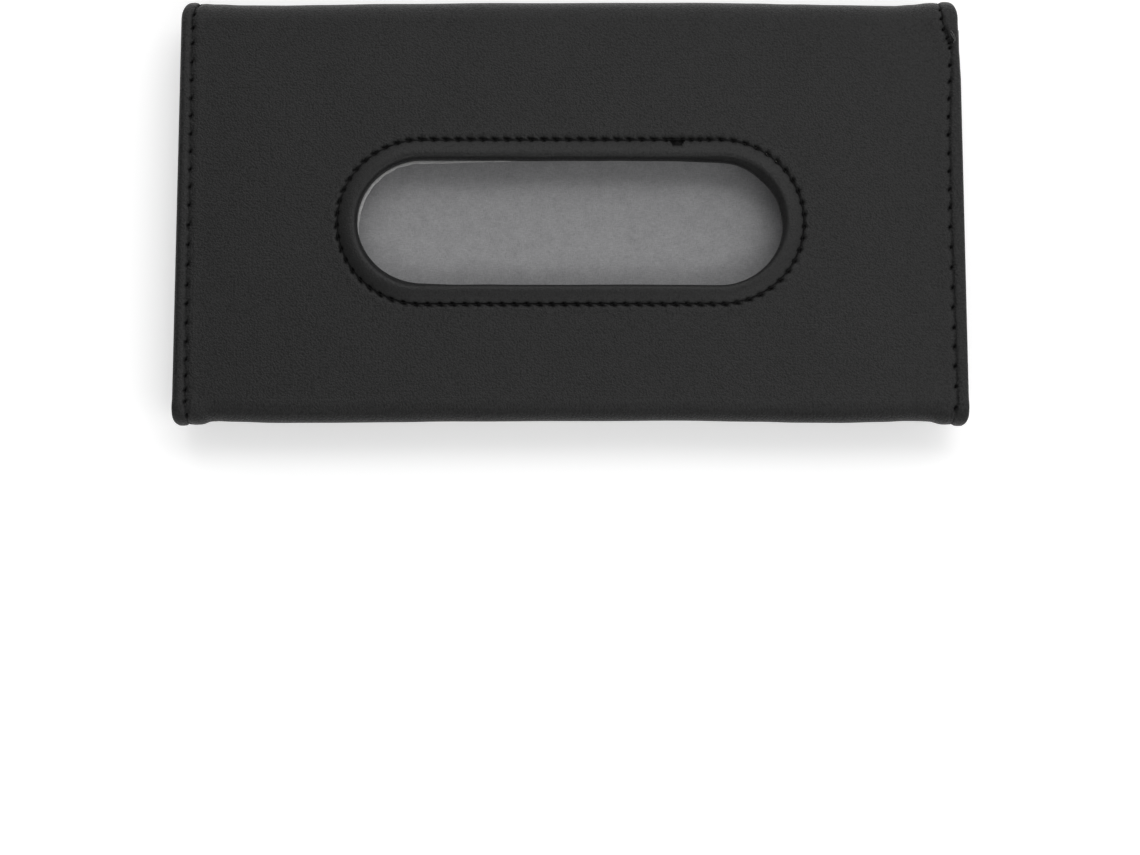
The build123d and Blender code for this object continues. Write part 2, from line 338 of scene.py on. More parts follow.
def buildFibreMat():
    # fibres pressed flat both ways, in soft clouds
    tree, given, result = makeGroup("fibreMat", {"Length": 2.0, "Relief": 0.04}, ["Height", "Tone"])
    small = scaled(tree, given["Vector"], calc(tree, "DIVIDE", 1.0, given["Length"]))
    across = noise(tree, stretched(tree, small, (1.0, 5.0, 1.0)), 1.0, 3.0, 0.6)
    along = noise(tree, stretched(tree, small, (5.0, 1.0, 1.0)), 1.3, 3.0, 0.6)
    cloud = noise(tree, small, 0.35, 3.0, 0.6)
    fibres = calc(tree, "MAXIMUM", across, along)
    tree.links.new(times(tree, fibres, given["Relief"]), result["Height"])
    mixed = plus(tree, times(tree, fibres, 0.78), times(tree, cloud, 0.22))
    tree.links.new(mixed, result["Tone"])
    return tree


def buildPlainWeave():
    # warp and weft, one over the other in turn
    tree, given, result = makeGroup("plainWeave", {"Pitch": 0.5, "Relief": 0.04}, ["Height", "Tone"])
    turns = scaled(tree, given["Vector"], calc(tree, "DIVIDE", math.pi, given["Pitch"]))
    parts = addNode(tree, "ShaderNodeSeparateXYZ", {0: turns}).outputs
    warp, weft = calc(tree, "SINE", parts[0]), calc(tree, "SINE", parts[1])
    over = times(tree, warp, weft)
    yarns = plus(tree, calc(tree, "ABSOLUTE", warp), calc(tree, "ABSOLUTE", weft))
    high = plus(tree, times(tree, over, 0.5), times(tree, yarns, 0.4))
    tree.links.new(times(tree, high, given["Relief"]), result["Height"])
    fuzz = noise(tree, given["Vector"], 3.0, 2.0)
    tree.links.new(plus(tree, times(tree, over, 0.25), fuzz), result["Tone"])
    return tree


leatherGrain = buildLeatherGrain()
strayDust = buildStrayDust()
fibreMat = buildFibreMat()
plainWeave = buildPlainWeave()


def newMaterial(name):
    material = bpy.data.materials.new(name)
    material.use_nodes = True
    tree = material.node_tree
    return material, tree, tree.nodes["Principled BSDF"]


def useGroup(tree, group, inputs):
    return addNode(tree, "ShaderNodeGroup", inputs, node_tree=group).outputs


def objectPlace(tree):
    # a place in millimetres, for the solids that come with the frame
    return scaled(tree, addNode(tree, "ShaderNodeTexCoord").outputs["Object"], 1 / mm)


def readPoint(tree, name):
    made = addNode(tree, "ShaderNodeAttribute", attribute_name=name)
    return made.outputs["Vector" if name == "flat" else "Fac"]


def toneBetween(tree, shader, factor, dark, light):
    made = addNode(tree, "ShaderNodeMix", {0: factor, 6: (*dark, 1), 7: (*light, 1)}, data_type="RGBA")
    tree.links.new(made.outputs[2], shader.inputs["Base Color"])
    return made.outputs[2]


leatherTone = {
    "plain": 0.42,  # where the leather lies between its dark and its light tone
    # painted shade: how much the ditch attribute darkens the leather's colour
    "ditchPaintedShade": 0.8,
    "creaseRough": 0.18,
    "ditchRough": 0.5,
    "sheenFrom": 0.4,  # painted shade: ditch depth from which the sheen is taken away
    "sheenGone": 0.85,
    "dust": (0.3, 0.3, 0.3, 1),
}


def addBump(tree, shader, height, strength=1.0):
    # heights are in millimetres
    made = addNode(tree, "ShaderNodeBump", {"Height": height, "Strength": strength, "Distance": mm})
    tree.links.new(made.outputs[0], shader.inputs["Normal"])


def leatherFinish(name, look):
    material, tree, shader = newMaterial(name)
    where = readPoint(tree, "flat")
    grain = useGroup(tree, leatherGrain, {"Vector": where, "Pebble": look["pebble"], "Relief": look["relief"]})
    dust = useGroup(tree, strayDust, {"Vector": where, "Spacing": look["dustSpacing"]})
    blotch = times(tree, minus(tree, grain["Blotch"], 0.5), look["blotch"])
    light = plus(tree, leatherTone["plain"], blotch)
    # painted shade: the grain's crease lines darkened in the colour
    light = minus(tree, light, times(tree, grain["Creases"], look["creaseShade"]))
    # painted highlight: the grain's ridges lightened in the colour
    light = plus(tree, light, times(tree, grain["Crests"], look["crestHighlight"]))
    ditch = readPoint(tree, "ditch")
    # painted shade: seams, stitch holes and the notch darkened in the colour
    light = minus(tree, light, times(tree, ditch, leatherTone["ditchPaintedShade"]), clamp=True)
    tone = toneBetween(tree, shader, light, look["dark"], look["light"])
    mixInputs = {0: dust["Mask"], 6: tone, 7: leatherTone["dust"]}
    dusty = addNode(tree, "ShaderNodeMix", mixInputs, data_type="RGBA")
    tree.links.new(dusty.outputs[2], shader.inputs["Base Color"])
    creaseRough = times(tree, grain["Creases"], leatherTone["creaseRough"])
    rough = plus(tree, look["roughness"], creaseRough)
    rough = plus(tree, rough, times(tree, ditch, leatherTone["ditchRough"]), clamp=True)
    tree.links.new(rough, shader.inputs["Roughness"])
    # painted shade: deep in a seam, a stitch hole or the rim's notch the leather turns black metal, which has
    # no sheen, so it stays as dark as shade would make it
    paintedShadeMetal = spread(tree, ditch, leatherTone["sheenFrom"], 1.0, 0.0, leatherTone["sheenGone"])
    tree.links.new(paintedShadeMetal, shader.inputs["Metallic"])
    shader.inputs["Specular IOR Level"].default_value = look["gloss"]
    addBump(tree, shader, grain["Height"])
    return material


def matFinish(name, look):
    # linings, boards and pile: a mat of fibres
    material, tree, shader = newMaterial(name)
    where = readPoint(tree, "flat") if look["own"] else objectPlace(tree)
    mat = useGroup(tree, fibreMat, {"Vector": where, "Length": look["length"], "Relief": look["relief"]})
    toneBetween(tree, shader, spread(tree, mat["Tone"], 0.35, 0.7), look["dark"], look["light"])
    rough = spread(tree, mat["Tone"], 0.3, 0.7, look["roughness"] - 0.06, look["roughness"])
    tree.links.new(rough, shader.inputs["Roughness"])
    shader.inputs["Specular IOR Level"].default_value = look["gloss"]
    addBump(tree, shader, mat["Height"])
    return material


def weaveFinish(name, look):
    material, tree, shader = newMaterial(name)
    where = readPoint(tree, "flat")
    weave = useGroup(tree, plainWeave, {"Vector": where, "Pitch": look["pitch"], "Relief": look["relief"]})
    toneBetween(tree, shader, spread(tree, weave["Tone"], 0.2, 0.8), look["dark"], look["light"])
    rough = spread(tree, weave["Tone"], 0.2, 0.8, look["roughness"] + 0.1, look["roughness"])
    tree.links.new(rough, shader.inputs["Roughness"])
    shader.inputs["Specular IOR Level"].default_value = look["gloss"]
    addBump(tree, shader, weave["Height"])
    return material


def threadFinish(name, look):
    material, tree, shader = newMaterial(name)
    where = readPoint(tree, "flat")
    parts = addNode(tree, "ShaderNodeSeparateXYZ", {0: where}).outputs
    lay = plus(tree, times(tree, parts[0], 2 * math.pi / look["twist"]), parts[1])
    strands = calc(tree, "ABSOLUTE", calc(tree, "SINE", lay))
    toneBetween(tree, shader, strands, look["dark"], look["light"])
    tree.links.new(spread(tree, strands, 0.0, 1.0, 0.9, 0.75), shader.inputs["Roughness"])
    shader.inputs["Specular IOR Level"].default_value = look["gloss"]
    addBump(tree, shader, times(tree, strands, 0.05))
    return material


def plateFinish(name, look):
    # plated magnets: turned lines
    material, tree, shader = newMaterial(name)
    where = objectPlace(tree)
    lines = noise(tree, stretched(tree, where, (0.3, 9.0, 1.0)), 1.0, 3.0)
    toneBetween(tree, shader, lines, look["dark"], look["light"])
    tree.links.new(spread(tree, lines, 0.3, 0.7, 0.22, 0.4), shader.inputs["Roughness"])
    shader.inputs["Metallic"].default_value = 1.0
    addBump(tree, shader, times(tree, lines, 0.01))
    return material


caseBlack = leatherFinish("caseBlack", {
    "pebble": 0.62, "relief": 0.1, "blotch": 0.35, "creaseShade": 0.45, "crestHighlight": 0.75, "dustSpacing": 26.0,
    "dark": (0.0005, 0.0005, 0.0005), "light": (0.0105, 0.0105, 0.0107), "roughness": 0.34, "gloss": 0.3,
})
rimBlack = leatherFinish("rimBlack", {
    "pebble": 0.5, "relief": 0.05, "blotch": 0.3, "creaseShade": 0.3, "crestHighlight": 0.3, "dustSpacing": 16.0,
    "dark": (0.001, 0.001, 0.001), "light": (0.011, 0.011, 0.0112), "roughness": 0.36, "gloss": 0.32,
})
strapLeather = leatherFinish("strapLeather", {
    "pebble": 0.6, "relief": 0.15, "blotch": 0.3, "creaseShade": 0.3, "crestHighlight": 0.3, "dustSpacing": 15.0,
    "dark": (0.004, 0.004, 0.0042), "light": (0.025, 0.025, 0.0254), "roughness": 0.5, "gloss": 0.25,
})
greyLining = matFinish("greyLining", {
    "own": True, "length": 1.15, "relief": 0.05,
    "dark": (0.195, 0.195, 0.2), "light": (0.33, 0.33, 0.335), "roughness": 0.95, "gloss": 0.2,
})
cutEdge = matFinish("cutEdge", {
    "own": True, "length": 1.0, "relief": 0.03,
    "dark": (0.2, 0.2, 0.2), "light": (0.46, 0.46, 0.46), "roughness": 0.9, "gloss": 0.2,
})
pressedBoard = matFinish("pressedBoard", {
    "own": False, "length": 3.0, "relief": 0.05,
    "dark": (0.28, 0.27, 0.25), "light": (0.42, 0.41, 0.39), "roughness": 0.9, "gloss": 0.3,
})
coatedCloth = weaveFinish("coatedCloth", {
    "pitch": 0.42, "relief": 0.03,
    "dark": (0.014, 0.014, 0.0145), "light": (0.042, 0.042, 0.043), "roughness": 0.62, "gloss": 0.4,
})
elasticWeave = weaveFinish("elasticWeave", {
    "pitch": 0.62, "relief": 0.09,
    "dark": (0.008, 0.008, 0.0085), "light": (0.034, 0.034, 0.036), "roughness": 0.72, "gloss": 0.3,
})
softPile = matFinish("softPile", {
    "own": True, "length": 0.8, "relief": 0.05,
    "dark": (0.008, 0.008, 0.0085), "light": (0.034, 0.034, 0.035), "roughness": 0.9, "gloss": 0.25,
})
hookPlastic = matFinish("hookPlastic", {
    "own": True, "length": 1.2, "relief": 0.01,
    "dark": (0.010, 0.010, 0.0105), "light": (0.026, 0.026, 0.027), "roughness": 0.5, "gloss": 0.5,
})
blackThread = threadFinish("blackThread", {
    "twist": 0.7, "dark": (0.002, 0.002, 0.002), "light": (0.010, 0.010, 0.0103), "gloss": 0.15,
})
paleThread = threadFinish("paleThread", {
    "twist": 0.7, "dark": (0.04, 0.04, 0.04), "light": (0.12, 0.12, 0.12), "gloss": 0.1,
})
plated = plateFinish("plated", {"dark": (0.42, 0.42, 0.43), "light": (0.62, 0.62, 0.63)})
print("materials ready")

# one leather wraps the whole case: bottom fold, front, top fold, crease, cover
casePath = bendPath(
    (bottomTangent, case["frontTop"] - 2 * case["bottomRadius"]),
    -math.pi,
    [(bottomArc, case["bottomRadius"]), (frontLength, None), (topArc, case["topRadius"]), (130.0, None)],
    zero=-bottomArc,
)

caseLook = {
    # places of the end seams, (along the leather, across it)
    "leftSeam": ((-18.7, 111.1), (-8, 110.5), (0, 111.2), (30, 111.4), (60, 111.3), (100, 111.5),
                 (112.5, 111.4), (120.3, 110.0), (133, 110.2)),
    "rightSeam": ((-18.7, 111.2), (-8, 110.4), (0, 111.2), (18, 111.05), (28, 110.95), (40, 110.85),
                  (50, 110.65), (79, 110.75), (88, 111.2), (97, 111.7), (104.8, 111.9), (109.3, 110.1),
                  (112, 109.6), (120, 109.3), (133, 110.1)),
    # stitch lengths there, (along, length)
    "leftPitch": ((-19, 3.5), (1, 3.5), (5, 3.9), (10, 4.5), (18, 5.2), (28, 5.8), (60, 5.6), (105, 5.3),
                  (112, 4.6), (130, 4.6)),
    "rightPitch": ((-19, 5.9), (30, 5.85), (60, 5.7), (104, 5.2), (104.9, 1.5), (109, 1.6), (110, 3.2),
                   (130, 4.2)),
    # how far each fold's crown swells, (across, swell)
    "topCrown": ((-113, 0.0), (-104, -0.2), (-97, -0.5), (-86, -0.55), (-74, -0.3), (-51, 0.0),
                 (-16, 0.25), (34, 0.25), (54, 0.0), (66, -0.3), (78, -0.55), (90, -0.6), (96, -0.65),
                 (101, -0.3), (106, 0.2), (113, 0.25)),
    "bottomCrown": ((-113, 1.3), (-107, 1.25), (-103.6, 0.25), (-97, 0.42), (-84, 0.75), (-72, 0.75),
                    (-51, 0.5), (-33, 0.25), (31, 0.25), (54, 0.5), (66, 0.75), (78, 0.75), (90, 0.5),
                    (98, 0.2), (103.6, 0.25), (107.5, 1.1), (113, 1.3)),
    # seam tangle where the right seam's two runs meet; its spots sink and take painted shade, (across, along,
    # turn)
    "tangle": ((110.2, 109.2, 0.3), (110.9, 108.4, 1.2), (111.6, 107.5, 0.2), (112.5, 107.0, 1.3),
               (111.4, 106.3, 0.5), (112.3, 105.4, 0.9)),
    "tangleSpot": {"long": 1.0, "wide": 0.55, "share": 0.6},
    "rightTaper": ((94, 0.0), (100, 0.18), (104, 0.35), (112, 0.5), (122, 0.3), (130, 0.0)),
    "edgeLift": 0.16,
    "edgeLiftWidth": 2.6,
    "seamDepth": 0.36,
    "seamWidth": 0.22,
    "seamPaintedShade": (0.4, 0.5),  # painted shade in the seam's ditch: along the front, and how much more from the top fold on
    "bulge": 0.32,
    "mound": (0.09, 2.1, 1.3),  # beside each seam: height, distance inwards, width
    "dip": (0.07, 0.7, 0.5),
    "hole": {"depth": 0.42, "slant": -30, "long": 0.85, "wide": 0.42, "inwards": 0.3},
    "pull": {"depth": 0.07, "slant": 12, "long": 1.5, "wide": 0.8, "inwards": 0.8},
    "waves": ((75, 0.12), (34, 0.05)),
}

rim = {
    "halfSpine": 43.55,
    "radius": 18.65,
    "centreY": -5.0,
    "width": 5.6,
    "pitch": 3.58,
    "slant": -13.0,
    "clump": (30.0, 44.0),  # where the seam's two ends overlap
    "clumpPitch": 2.6,
    "holeLong": 1.4,
    "holeShorter": (0.6, 0.4),  # by how much on the right bend, and in the clump
    "notch": (28.9, 33.5),
    "notchDepth": 1.9,
}
# the panel's edge along that seam; each dark is the painted shade in its trench, holes or fray
ringLook = {
    "trench": {"depth": 0.42, "begin": 0.12, "width": 0.3, "dark": 0.56},
    "mound": (0.10, 1.7, 0.9),  # height, distance outwards, width
    "hole": {"depth": 0.6, "wide": 0.44, "outwards": 0.2, "steep": 1.25, "dark": 0.84},
    "pull": {"depth": 0.08, "long": 0.9, "wide": 1.1, "outwards": 1.2},
    "fray": {"depth": 0.3, "at": 0.5, "width": 0.45, "dark": 0.55, "begin": 0.55, "paintedShadeWidth": 0.3},
    "deepest": 0.78,  # the board lies below
}
seamRadius = rim["radius"] + rim["width"] + 0.15
quarterSpine = rim["halfSpine"]
ringLength = 4 * quarterSpine + 2 * math.pi * seamRadius


def ringPoint(q, margin):
    # q runs clockwise along the seam from the middle of its top; margin is measured from the window's edge
    q = np.mod(np.asarray(q, float), ringLength)
    half = math.pi * seamRadius
    marks = np.cumsum([quarterSpine, half, 2 * quarterSpine, half])
    before = [q < mark for mark in marks]
    turns = [0 * q, (q - marks[0]) / seamRadius, 0 * q + math.pi, math.pi + (q - marks[2]) / seamRadius]
    turn = np.select(before, turns, 2 * math.pi)
    spines = [q, 0 * q + quarterSpine, quarterSpine - (q - marks[1]), 0 * q - quarterSpine]
    spine = np.select(before, spines, q - ringLength)
    reach = rim["radius"] + margin
    return spine + reach * np.sin(turn), rim["centreY"] + reach * np.cos(turn), turn


def windowMargin(x, y):
    # distance from the window's edge
    away = np.maximum(np.abs(x) - quarterSpine, 0)
    return np.hypot(away, y - rim["centreY"]) - rim["radius"]


def ringHoles():
    # stitch holes once round, closer together in the clump
    marks, q = [], rim["clump"][1]
    while q < ringLength + rim["clump"][0] - 1:
        marks.append(q)
        q += rim["pitch"]
    q = rim["clump"][0] + ringLength
    while q < ringLength + rim["clump"][1] - 1:
        marks.append(q)
        q += rim["clumpPitch"]
    return np.array(marks)


def clumpShare(x, y):
    # how much a place beside the window's seam belongs to the clump
    first, last = rim["clump"]
    over = y > rim["centreY"]
    return smooth((x - first + 1.0) / 2.0) * smooth((last - x) / 3.0) * over


def pits(x, y, holeX, holeY, turn, slant, long, wide):
    # 1 at the bottom of each stitch hole, falling off round it
    deep = np.zeros(x.shape)
    for cx, cy, angle, reach in zip(holeX, holeY, turn, np.broadcast_to(long, len(holeX))):
        near = (np.abs(x - cx) < 3) & (np.abs(y - cy) < 3)
        if not near.any():
            continue
        dx, dy = x[near] - cx, y[near] - cy
        a = angle + math.radians(slant)
        along, across = dx * math.cos(a) + dy * math.sin(a), -dx * math.sin(a) + dy * math.cos(a)
        deep[near] = np.maximum(deep[near], np.exp(-(((along / reach) ** 2 + (across / wide) ** 2) ** 2)))
    return deep


def walkSeam(begin, end, pitches, seed):
    # stitch holes from one end of a seam to the other, a little unevenly spaced
    draw = random.Random(seed)
    marks, v = [begin], begin
    while v > end:
        v -= float(through(pitches, v)) * draw.uniform(0.93, 1.07)
        marks.append(v)
    return np.array(marks)


sideStop = creaseAt - case["crease"]  # from here on the leather bends with the cover's hinge
holeMarks = {
    -1: walkSeam(sideStop - 0.6, -bottomArc + 3.5, caseLook["leftPitch"], 4),
    1: walkSeam(sideStop - 0.6, -bottomArc + 3.5, caseLook["rightPitch"], 9),
}
ringMarks = ringHoles()
ringHoleX, ringHoleY, ringTurn = ringPoint(ringMarks, rim["width"] + 0.25)
inClump = (ringMarks % ringLength > rim["clump"][0]) & (ringMarks % ringLength < rim["clump"][1])
ringLong = rim["holeLong"] - rim["holeShorter"][0] * np.clip(np.sin(ringTurn), 0, 1)
ringLong = ringLong - rim["holeShorter"][1] * inClump


def seamAcross(side, v):
    return through(caseLook["leftSeam" if side < 0 else "rightSeam"], v)


def halfAt(v, ny, side):
    # half the width along the leather, with its rounded corners and the narrower cover
    top = v > frontLength / 2
    radius = np.where(top, case["topRadius"], case["bottomRadius"])
    wide = np.where(top, case["topCorner"][0], case["bottomCorner"][0])
    tall = np.where(top, case["topCorner"][1], case["bottomCorner"][1])
    near = np.clip(1 - radius * (1 - np.abs(ny)) / tall, 0, 1)
    narrow = wide * (1 - np.sqrt(1 - near**2)) + np.where(side > 0, through(caseLook["rightTaper"], v), 0)
    return case["halfWidth"] - narrow - case["coverInset"] * smooth((v - creaseAt + 2.8) / 5.6)


def foldSwell(v, ny, nz):
    # on their front side the folds are a tighter bend than the half round that the path follows
    top = v > frontLength / 2
    radius = np.where(top, case["topRadius"], case["bottomRadius"])
    bend = np.where(top, case["topBend"], case["bottomBend"])
    off = radius - bend
    up, out = np.maximum(nz, 1e-6), np.maximum(np.abs(ny), 1e-6)
    along = off * (up + out)
    arc = along + np.sqrt(np.maximum(along**2 - 2 * off**2 + bend**2, 0))
    reach = np.where(radius * up / out < off, radius / out, arc)
    reach = np.where(radius * out / up < off, radius / up, reach)
    return (reach - radius) * (nz > 0)


def crownAt(x, v, ny, nz):
    # how far the folds stand out from the plain path
    top, bottom = through(caseLook["topCrown"], x), through(caseLook["bottomCrown"], x)
    return np.where(v > frontLength / 2, top, bottom) * np.abs(ny) ** 1.4 + foldSwell(v, ny, nz)


def depthAt(v):
    # how thick the wall is under the leather's face
    front = smooth((v + 3) / 3) * smooth((frontLength + 3 - v) / 3)
    cover = smooth((v - creaseAt + 1.2) / 1.4)
    return case["foldWall"] + (case["wall"] - case["foldWall"]) * np.maximum(front, cover)


def hemRelief(side, x, v, ny, holes):
    # one end's seam: the height that it adds, and the painted shade in its ditch and stitch holes
    look = caseLook
    seam, edge = seamAcross(side, v), halfAt(v, ny, side)
    d = x * side - seam
    ditch = bell(d, look["seamWidth"])
    band = np.clip(d / np.maximum(edge - seam, 0.5), 0, 1)
    height = look["bulge"] * np.sin(math.pi * band) ** 0.8 - look["seamDepth"] * ditch
    for sign, (tall, inwards, wide) in ((1, look["mound"]), (-1, look["dip"])):
        height = height + sign * tall * bell(d + inwards, wide)
    # painted shade along the seam's ditch
    dark = (look["seamPaintedShade"][0] + look["seamPaintedShade"][1] * smooth((v - 108) / 4)) * ditch
    if not holes:
        return height, dark
    marks, zone = holeMarks[side], np.abs(d) < 4
    sideways = seamAcross(side, marks) * side
    for kind, turn in (("hole", math.pi / 2), ("pull", 0.0)):
        part = look[kind]
        deep = np.zeros(x.shape)
        deep[zone] = pits(x[zone], v[zone], sideways - part["inwards"] * side, marks, turn + 0 * marks,
                          part["slant"], part["long"], part["wide"])
        if kind == "hole":
            for cx, cv, slant in look["tangle"] if side > 0 else ():
                near, spot = zone & (np.abs(v - cv) < 4), look["tangleSpot"]
                spotDeep = pits(x[near], v[near], [cx], [cv], [slant], 0, spot["long"], spot["wide"])
                deep[near] = np.maximum(deep[near], spot["share"] * spotDeep)
            # painted shade: the stitch holes and the tangle's spots darken as they sink
            dark = np.maximum(dark, deep)
        height = height - part["depth"] * deep
    return height, dark


def ringRelief(x, y, away, holes):
    # the same for the panel's edge along the window's seam; away is the distance from that edge
    trench, hole, pull, fray = (ringLook[key] for key in ("trench", "hole", "pull", "fray"))
    tall, at, wide = ringLook["mound"]
    sunk = bell(np.maximum(away - trench["begin"], 0), trench["width"])
    height = tall * bell(away - at, wide) - trench["depth"] * sunk
    # painted shade in the trench
    dark = trench["dark"] * sunk
    if holes:
        out = np.stack([np.sin(ringTurn), np.cos(ringTurn)])
        holeX, holeY = np.stack([ringHoleX, ringHoleY]) + hole["outwards"] * out
        deep = pits(x, y, holeX, holeY, -ringTurn, rim["slant"], ringLong, hole["wide"])
        pullX, pullY = np.stack([ringHoleX, ringHoleY]) + pull["outwards"] * out
        drawn = pits(x, y, pullX, pullY, -ringTurn, 0, pull["long"], pull["wide"])
        height = height - hole["depth"] * deep - pull["depth"] * drawn
        # painted shade in the stitch holes
        dark = np.maximum(dark, hole["dark"] * np.clip(hole["steep"] * deep, 0, 1))
        # the panel's edge is frayed where the seam's ends overlap, with painted shade on the fray
        mess = clumpShare(x, y)
        height = height - fray["depth"] * mess * bell(away - fray["at"], fray["width"])
        frayShade = bell(np.maximum(away - fray["begin"], 0), fray["paintedShadeWidth"])
        dark = np.maximum(dark, fray["dark"] * mess * frayShade)
    return np.maximum(height, -ringLook["deepest"]), dark


def caseHeight(x, v, ny, nz, holes=True):
    # height of the leather over its plain shape, and the painted shade that each point gets in seams and stitch
    # holes
    height = crownAt(x, v, ny, nz) + ripple(3, x, v, caseLook["waves"]) * smooth((creaseAt - v - 6) / 10)
    lift = bell(v, caseLook["edgeLiftWidth"]) * smooth((x - 50) / 50) * (v > -9)
    height = height + caseLook["edgeLift"] * lift
    dark = np.zeros(x.shape)
    for side in (-1, 1):
        added, deep = hemRelief(side, x, v, ny, holes)
        height, dark = height + added, np.maximum(dark, deep)
    y = bottomTangent + v
    away = windowMargin(x, y) - rim["width"]
    ring = (away > -4) & (away < 5) & (np.abs(ny) < 0.01)
    added, deep = ringRelief(x[ring], y[ring], away[ring], holes)
    height[ring] += added
    dark[ring] = np.maximum(dark[ring], deep)
    return height, dark


wrapLength = 3.9  # flattened length of the leather round an end's edge


def caseSurface(s, v):
    # flattened leather to its place: s across, v along
    y, z, ny, nz = casePath(v)
    side = np.sign(s) + (s == 0)
    flat = np.abs(s)
    half, depth = halfAt(v, ny, side), depthAt(v)
    start = case["halfWidth"] - case["edgeRound"]
    x = flat - (case["halfWidth"] - half) * smooth((flat - start + 12) / 12)
    r1 = np.minimum(case["edgeRound"], depth / 2)
    r2 = np.minimum(case["innerRound"], depth - r1)
    lead, straight = case["edgeRound"] - r1, depth - r1 - r2
    marks = np.cumsum([lead, r1 * math.pi / 2, straight, r2 * math.pi / 2], axis=0)
    run = np.clip((flat - start) / wrapLength, 0, 1) * marks[3]
    onArc = np.clip((run - marks[0]) / r1, 0, math.pi / 2)
    onSide = np.clip(run - marks[1], 0, straight)
    onTurn = np.clip((run - marks[2]) / r2, 0, math.pi / 2)
    tilt = onArc + onTurn
    out = -case["edgeRound"] + np.clip(run, 0, lead) + r1 * np.sin(onArc) - r2 * (1 - np.cos(onTurn))
    drop = r1 * (1 - np.cos(onArc)) + onSide + r2 * np.sin(onTurn)
    under = np.maximum(flat - start - wrapLength, 0)
    across = np.where(flat > start, half + out - under, x)
    height, dark = caseHeight(np.where(flat > start, np.minimum(across, half), x) * side, v, ny, nz)
    fade = np.where(tilt < math.pi / 2, np.cos(tilt), 0)
    height = height * np.where(flat > start, fade, 1)
    height = height + np.where(flat > start, (1 - fade) * crownAt(x * side, v, ny, nz), 0)
    lift = height - drop
    points = np.stack([side * across, y + lift * ny, z + lift * nz], -1)
    return points, np.where(fade > 0.3, dark, 0), flat > start + wrapLength * 0.75


def sampleColumns():
    # places across the leather, closer together at the seams and round the edges
    inner = np.arange(0, 104.1, 1.45)
    mid = np.arange(104.8, 108.9, 0.8)
    fine = np.arange(109.2, 113.25, 0.33)
    start = case["halfWidth"] - case["edgeRound"]
    turn = start + wrapLength * np.linspace(0, 1, 11)
    under = start + wrapLength + np.array([0.6, 2.5, 5.5, 8.5, 11.2])
    right = np.concatenate([inner, mid, fine, turn, under])
    return np.concatenate([-right[:0:-1], right])


columns = sampleColumns()
caseMesh = {
    "rows": (24, 84, 28),  # over the bottom fold, the front and the top fold
    "ringOffsets": (-4.4, -2.4, -0.9, -0.4, -0.1, 0.12, 0.34, 0.58, 0.9, 1.4, 2.1, 3.1),
    "ringStep": 0.5,
    "ringClear": 3.9,  # the plain grid stays this far from the window's seam
    "underRim": 4.4,  # how far the panel reaches under the rim
    "holeRings": ((0.0, 1), (0.22, 6), (0.48, 8), (0.8, 8)),  # points round each hole, (radius, count)
}


def makeCaseLeather():
    low, high = -bottomArc + 0.05, sideStop
    stretches = ((low, -0.01), (0.9, frontLength - 0.9), (frontLength, high))
    rows = np.concatenate([np.linspace(*ends, count) for ends, count in zip(stretches, caseMesh["rows"])])
    s, v = np.meshgrid(columns, rows)
    s, v = s.ravel(), v.ravel()
    margin = windowMargin(s, bottomTangent + v)
    keep = margin > rim["width"] + caseMesh["ringClear"]
    cloud = [np.stack([s[keep], v[keep]], -1)]
    # closer points round the window and round each end's stitch holes
    steps = np.linspace(0, ringLength, int(ringLength / caseMesh["ringStep"]), endpoint=False)
    for offset in caseMesh["ringOffsets"]:
        picked = steps[::2] if offset < -0.5 or offset > 2 else steps
        x, y, _ = ringPoint(picked, rim["width"] + offset)
        cloud.append(np.stack([x, y - bottomTangent], -1))
    for side in (-1, 1):
        for mark in holeMarks[side]:
            cx = side * seamAcross(side, mark)
            for radius, count in caseMesh["holeRings"]:
                a = np.arange(count) * 2 * math.pi / count
                cloud.append(np.stack([cx + radius * np.cos(a), mark + radius * np.sin(a)], -1))
    points = np.concatenate(cloud)
    points = points[(points[:, 1] >= low) & (points[:, 1] <= high)]
    _, first = np.unique(np.round(points, 3), axis=0, return_index=True)
    flatPoints, faces = fillFlat(points[np.sort(first)])
    middle = flatPoints[faces].mean(1)
    middleMargin = windowMargin(middle[:, 0], bottomTangent + middle[:, 1])
    faces = faces[middleMargin >= rim["width"] - caseMesh["underRim"]]
    place, dark, thin = caseSurface(flatPoints[:, 0], flatPoints[:, 1])
    used = np.unique(faces)
    order = np.full(len(flatPoints), -1)
    order[used] = np.arange(len(used))
    flat = np.column_stack([flatPoints, np.zeros(len(flatPoints))])
    makePiece(
        "caseLeather", place[used], order[faces], caseBlack, "front_shell",
        stands=("front_skin", "top_fold", "bottom_fold"), flat=flat[used], ditch=dark[used],
        thick=case["leather"], thin=thin[used],
    )


makeCaseLeather()
print("case leather ready")


# the cover's hinge: from body to body, and between which places; the pieces given it are baked in place and put
# on no body
coverBend = ("front_shell", "back_cover", (0, (topTangent + 2.1) * mm, case["coverBottom"] * mm),
             (0, (topTangent - case["crease"]) * mm, case["coverBottom"] * mm))
liningHalf = case["halfWidth"] - case["hem"] - 0.15


def liningSurface(s, v, wave=0.0):
    # the lining's face that is glued down: it gives way where the leather sinks in at a fold
    y, z, ny, nz = casePath(v)
    lift = np.minimum(crownAt(s, v, ny, nz), 0) - depthAt(v) + wave * (np.abs(ny) < 0.01)
    return np.stack([s, y + lift * ny, z + lift * nz], -1)


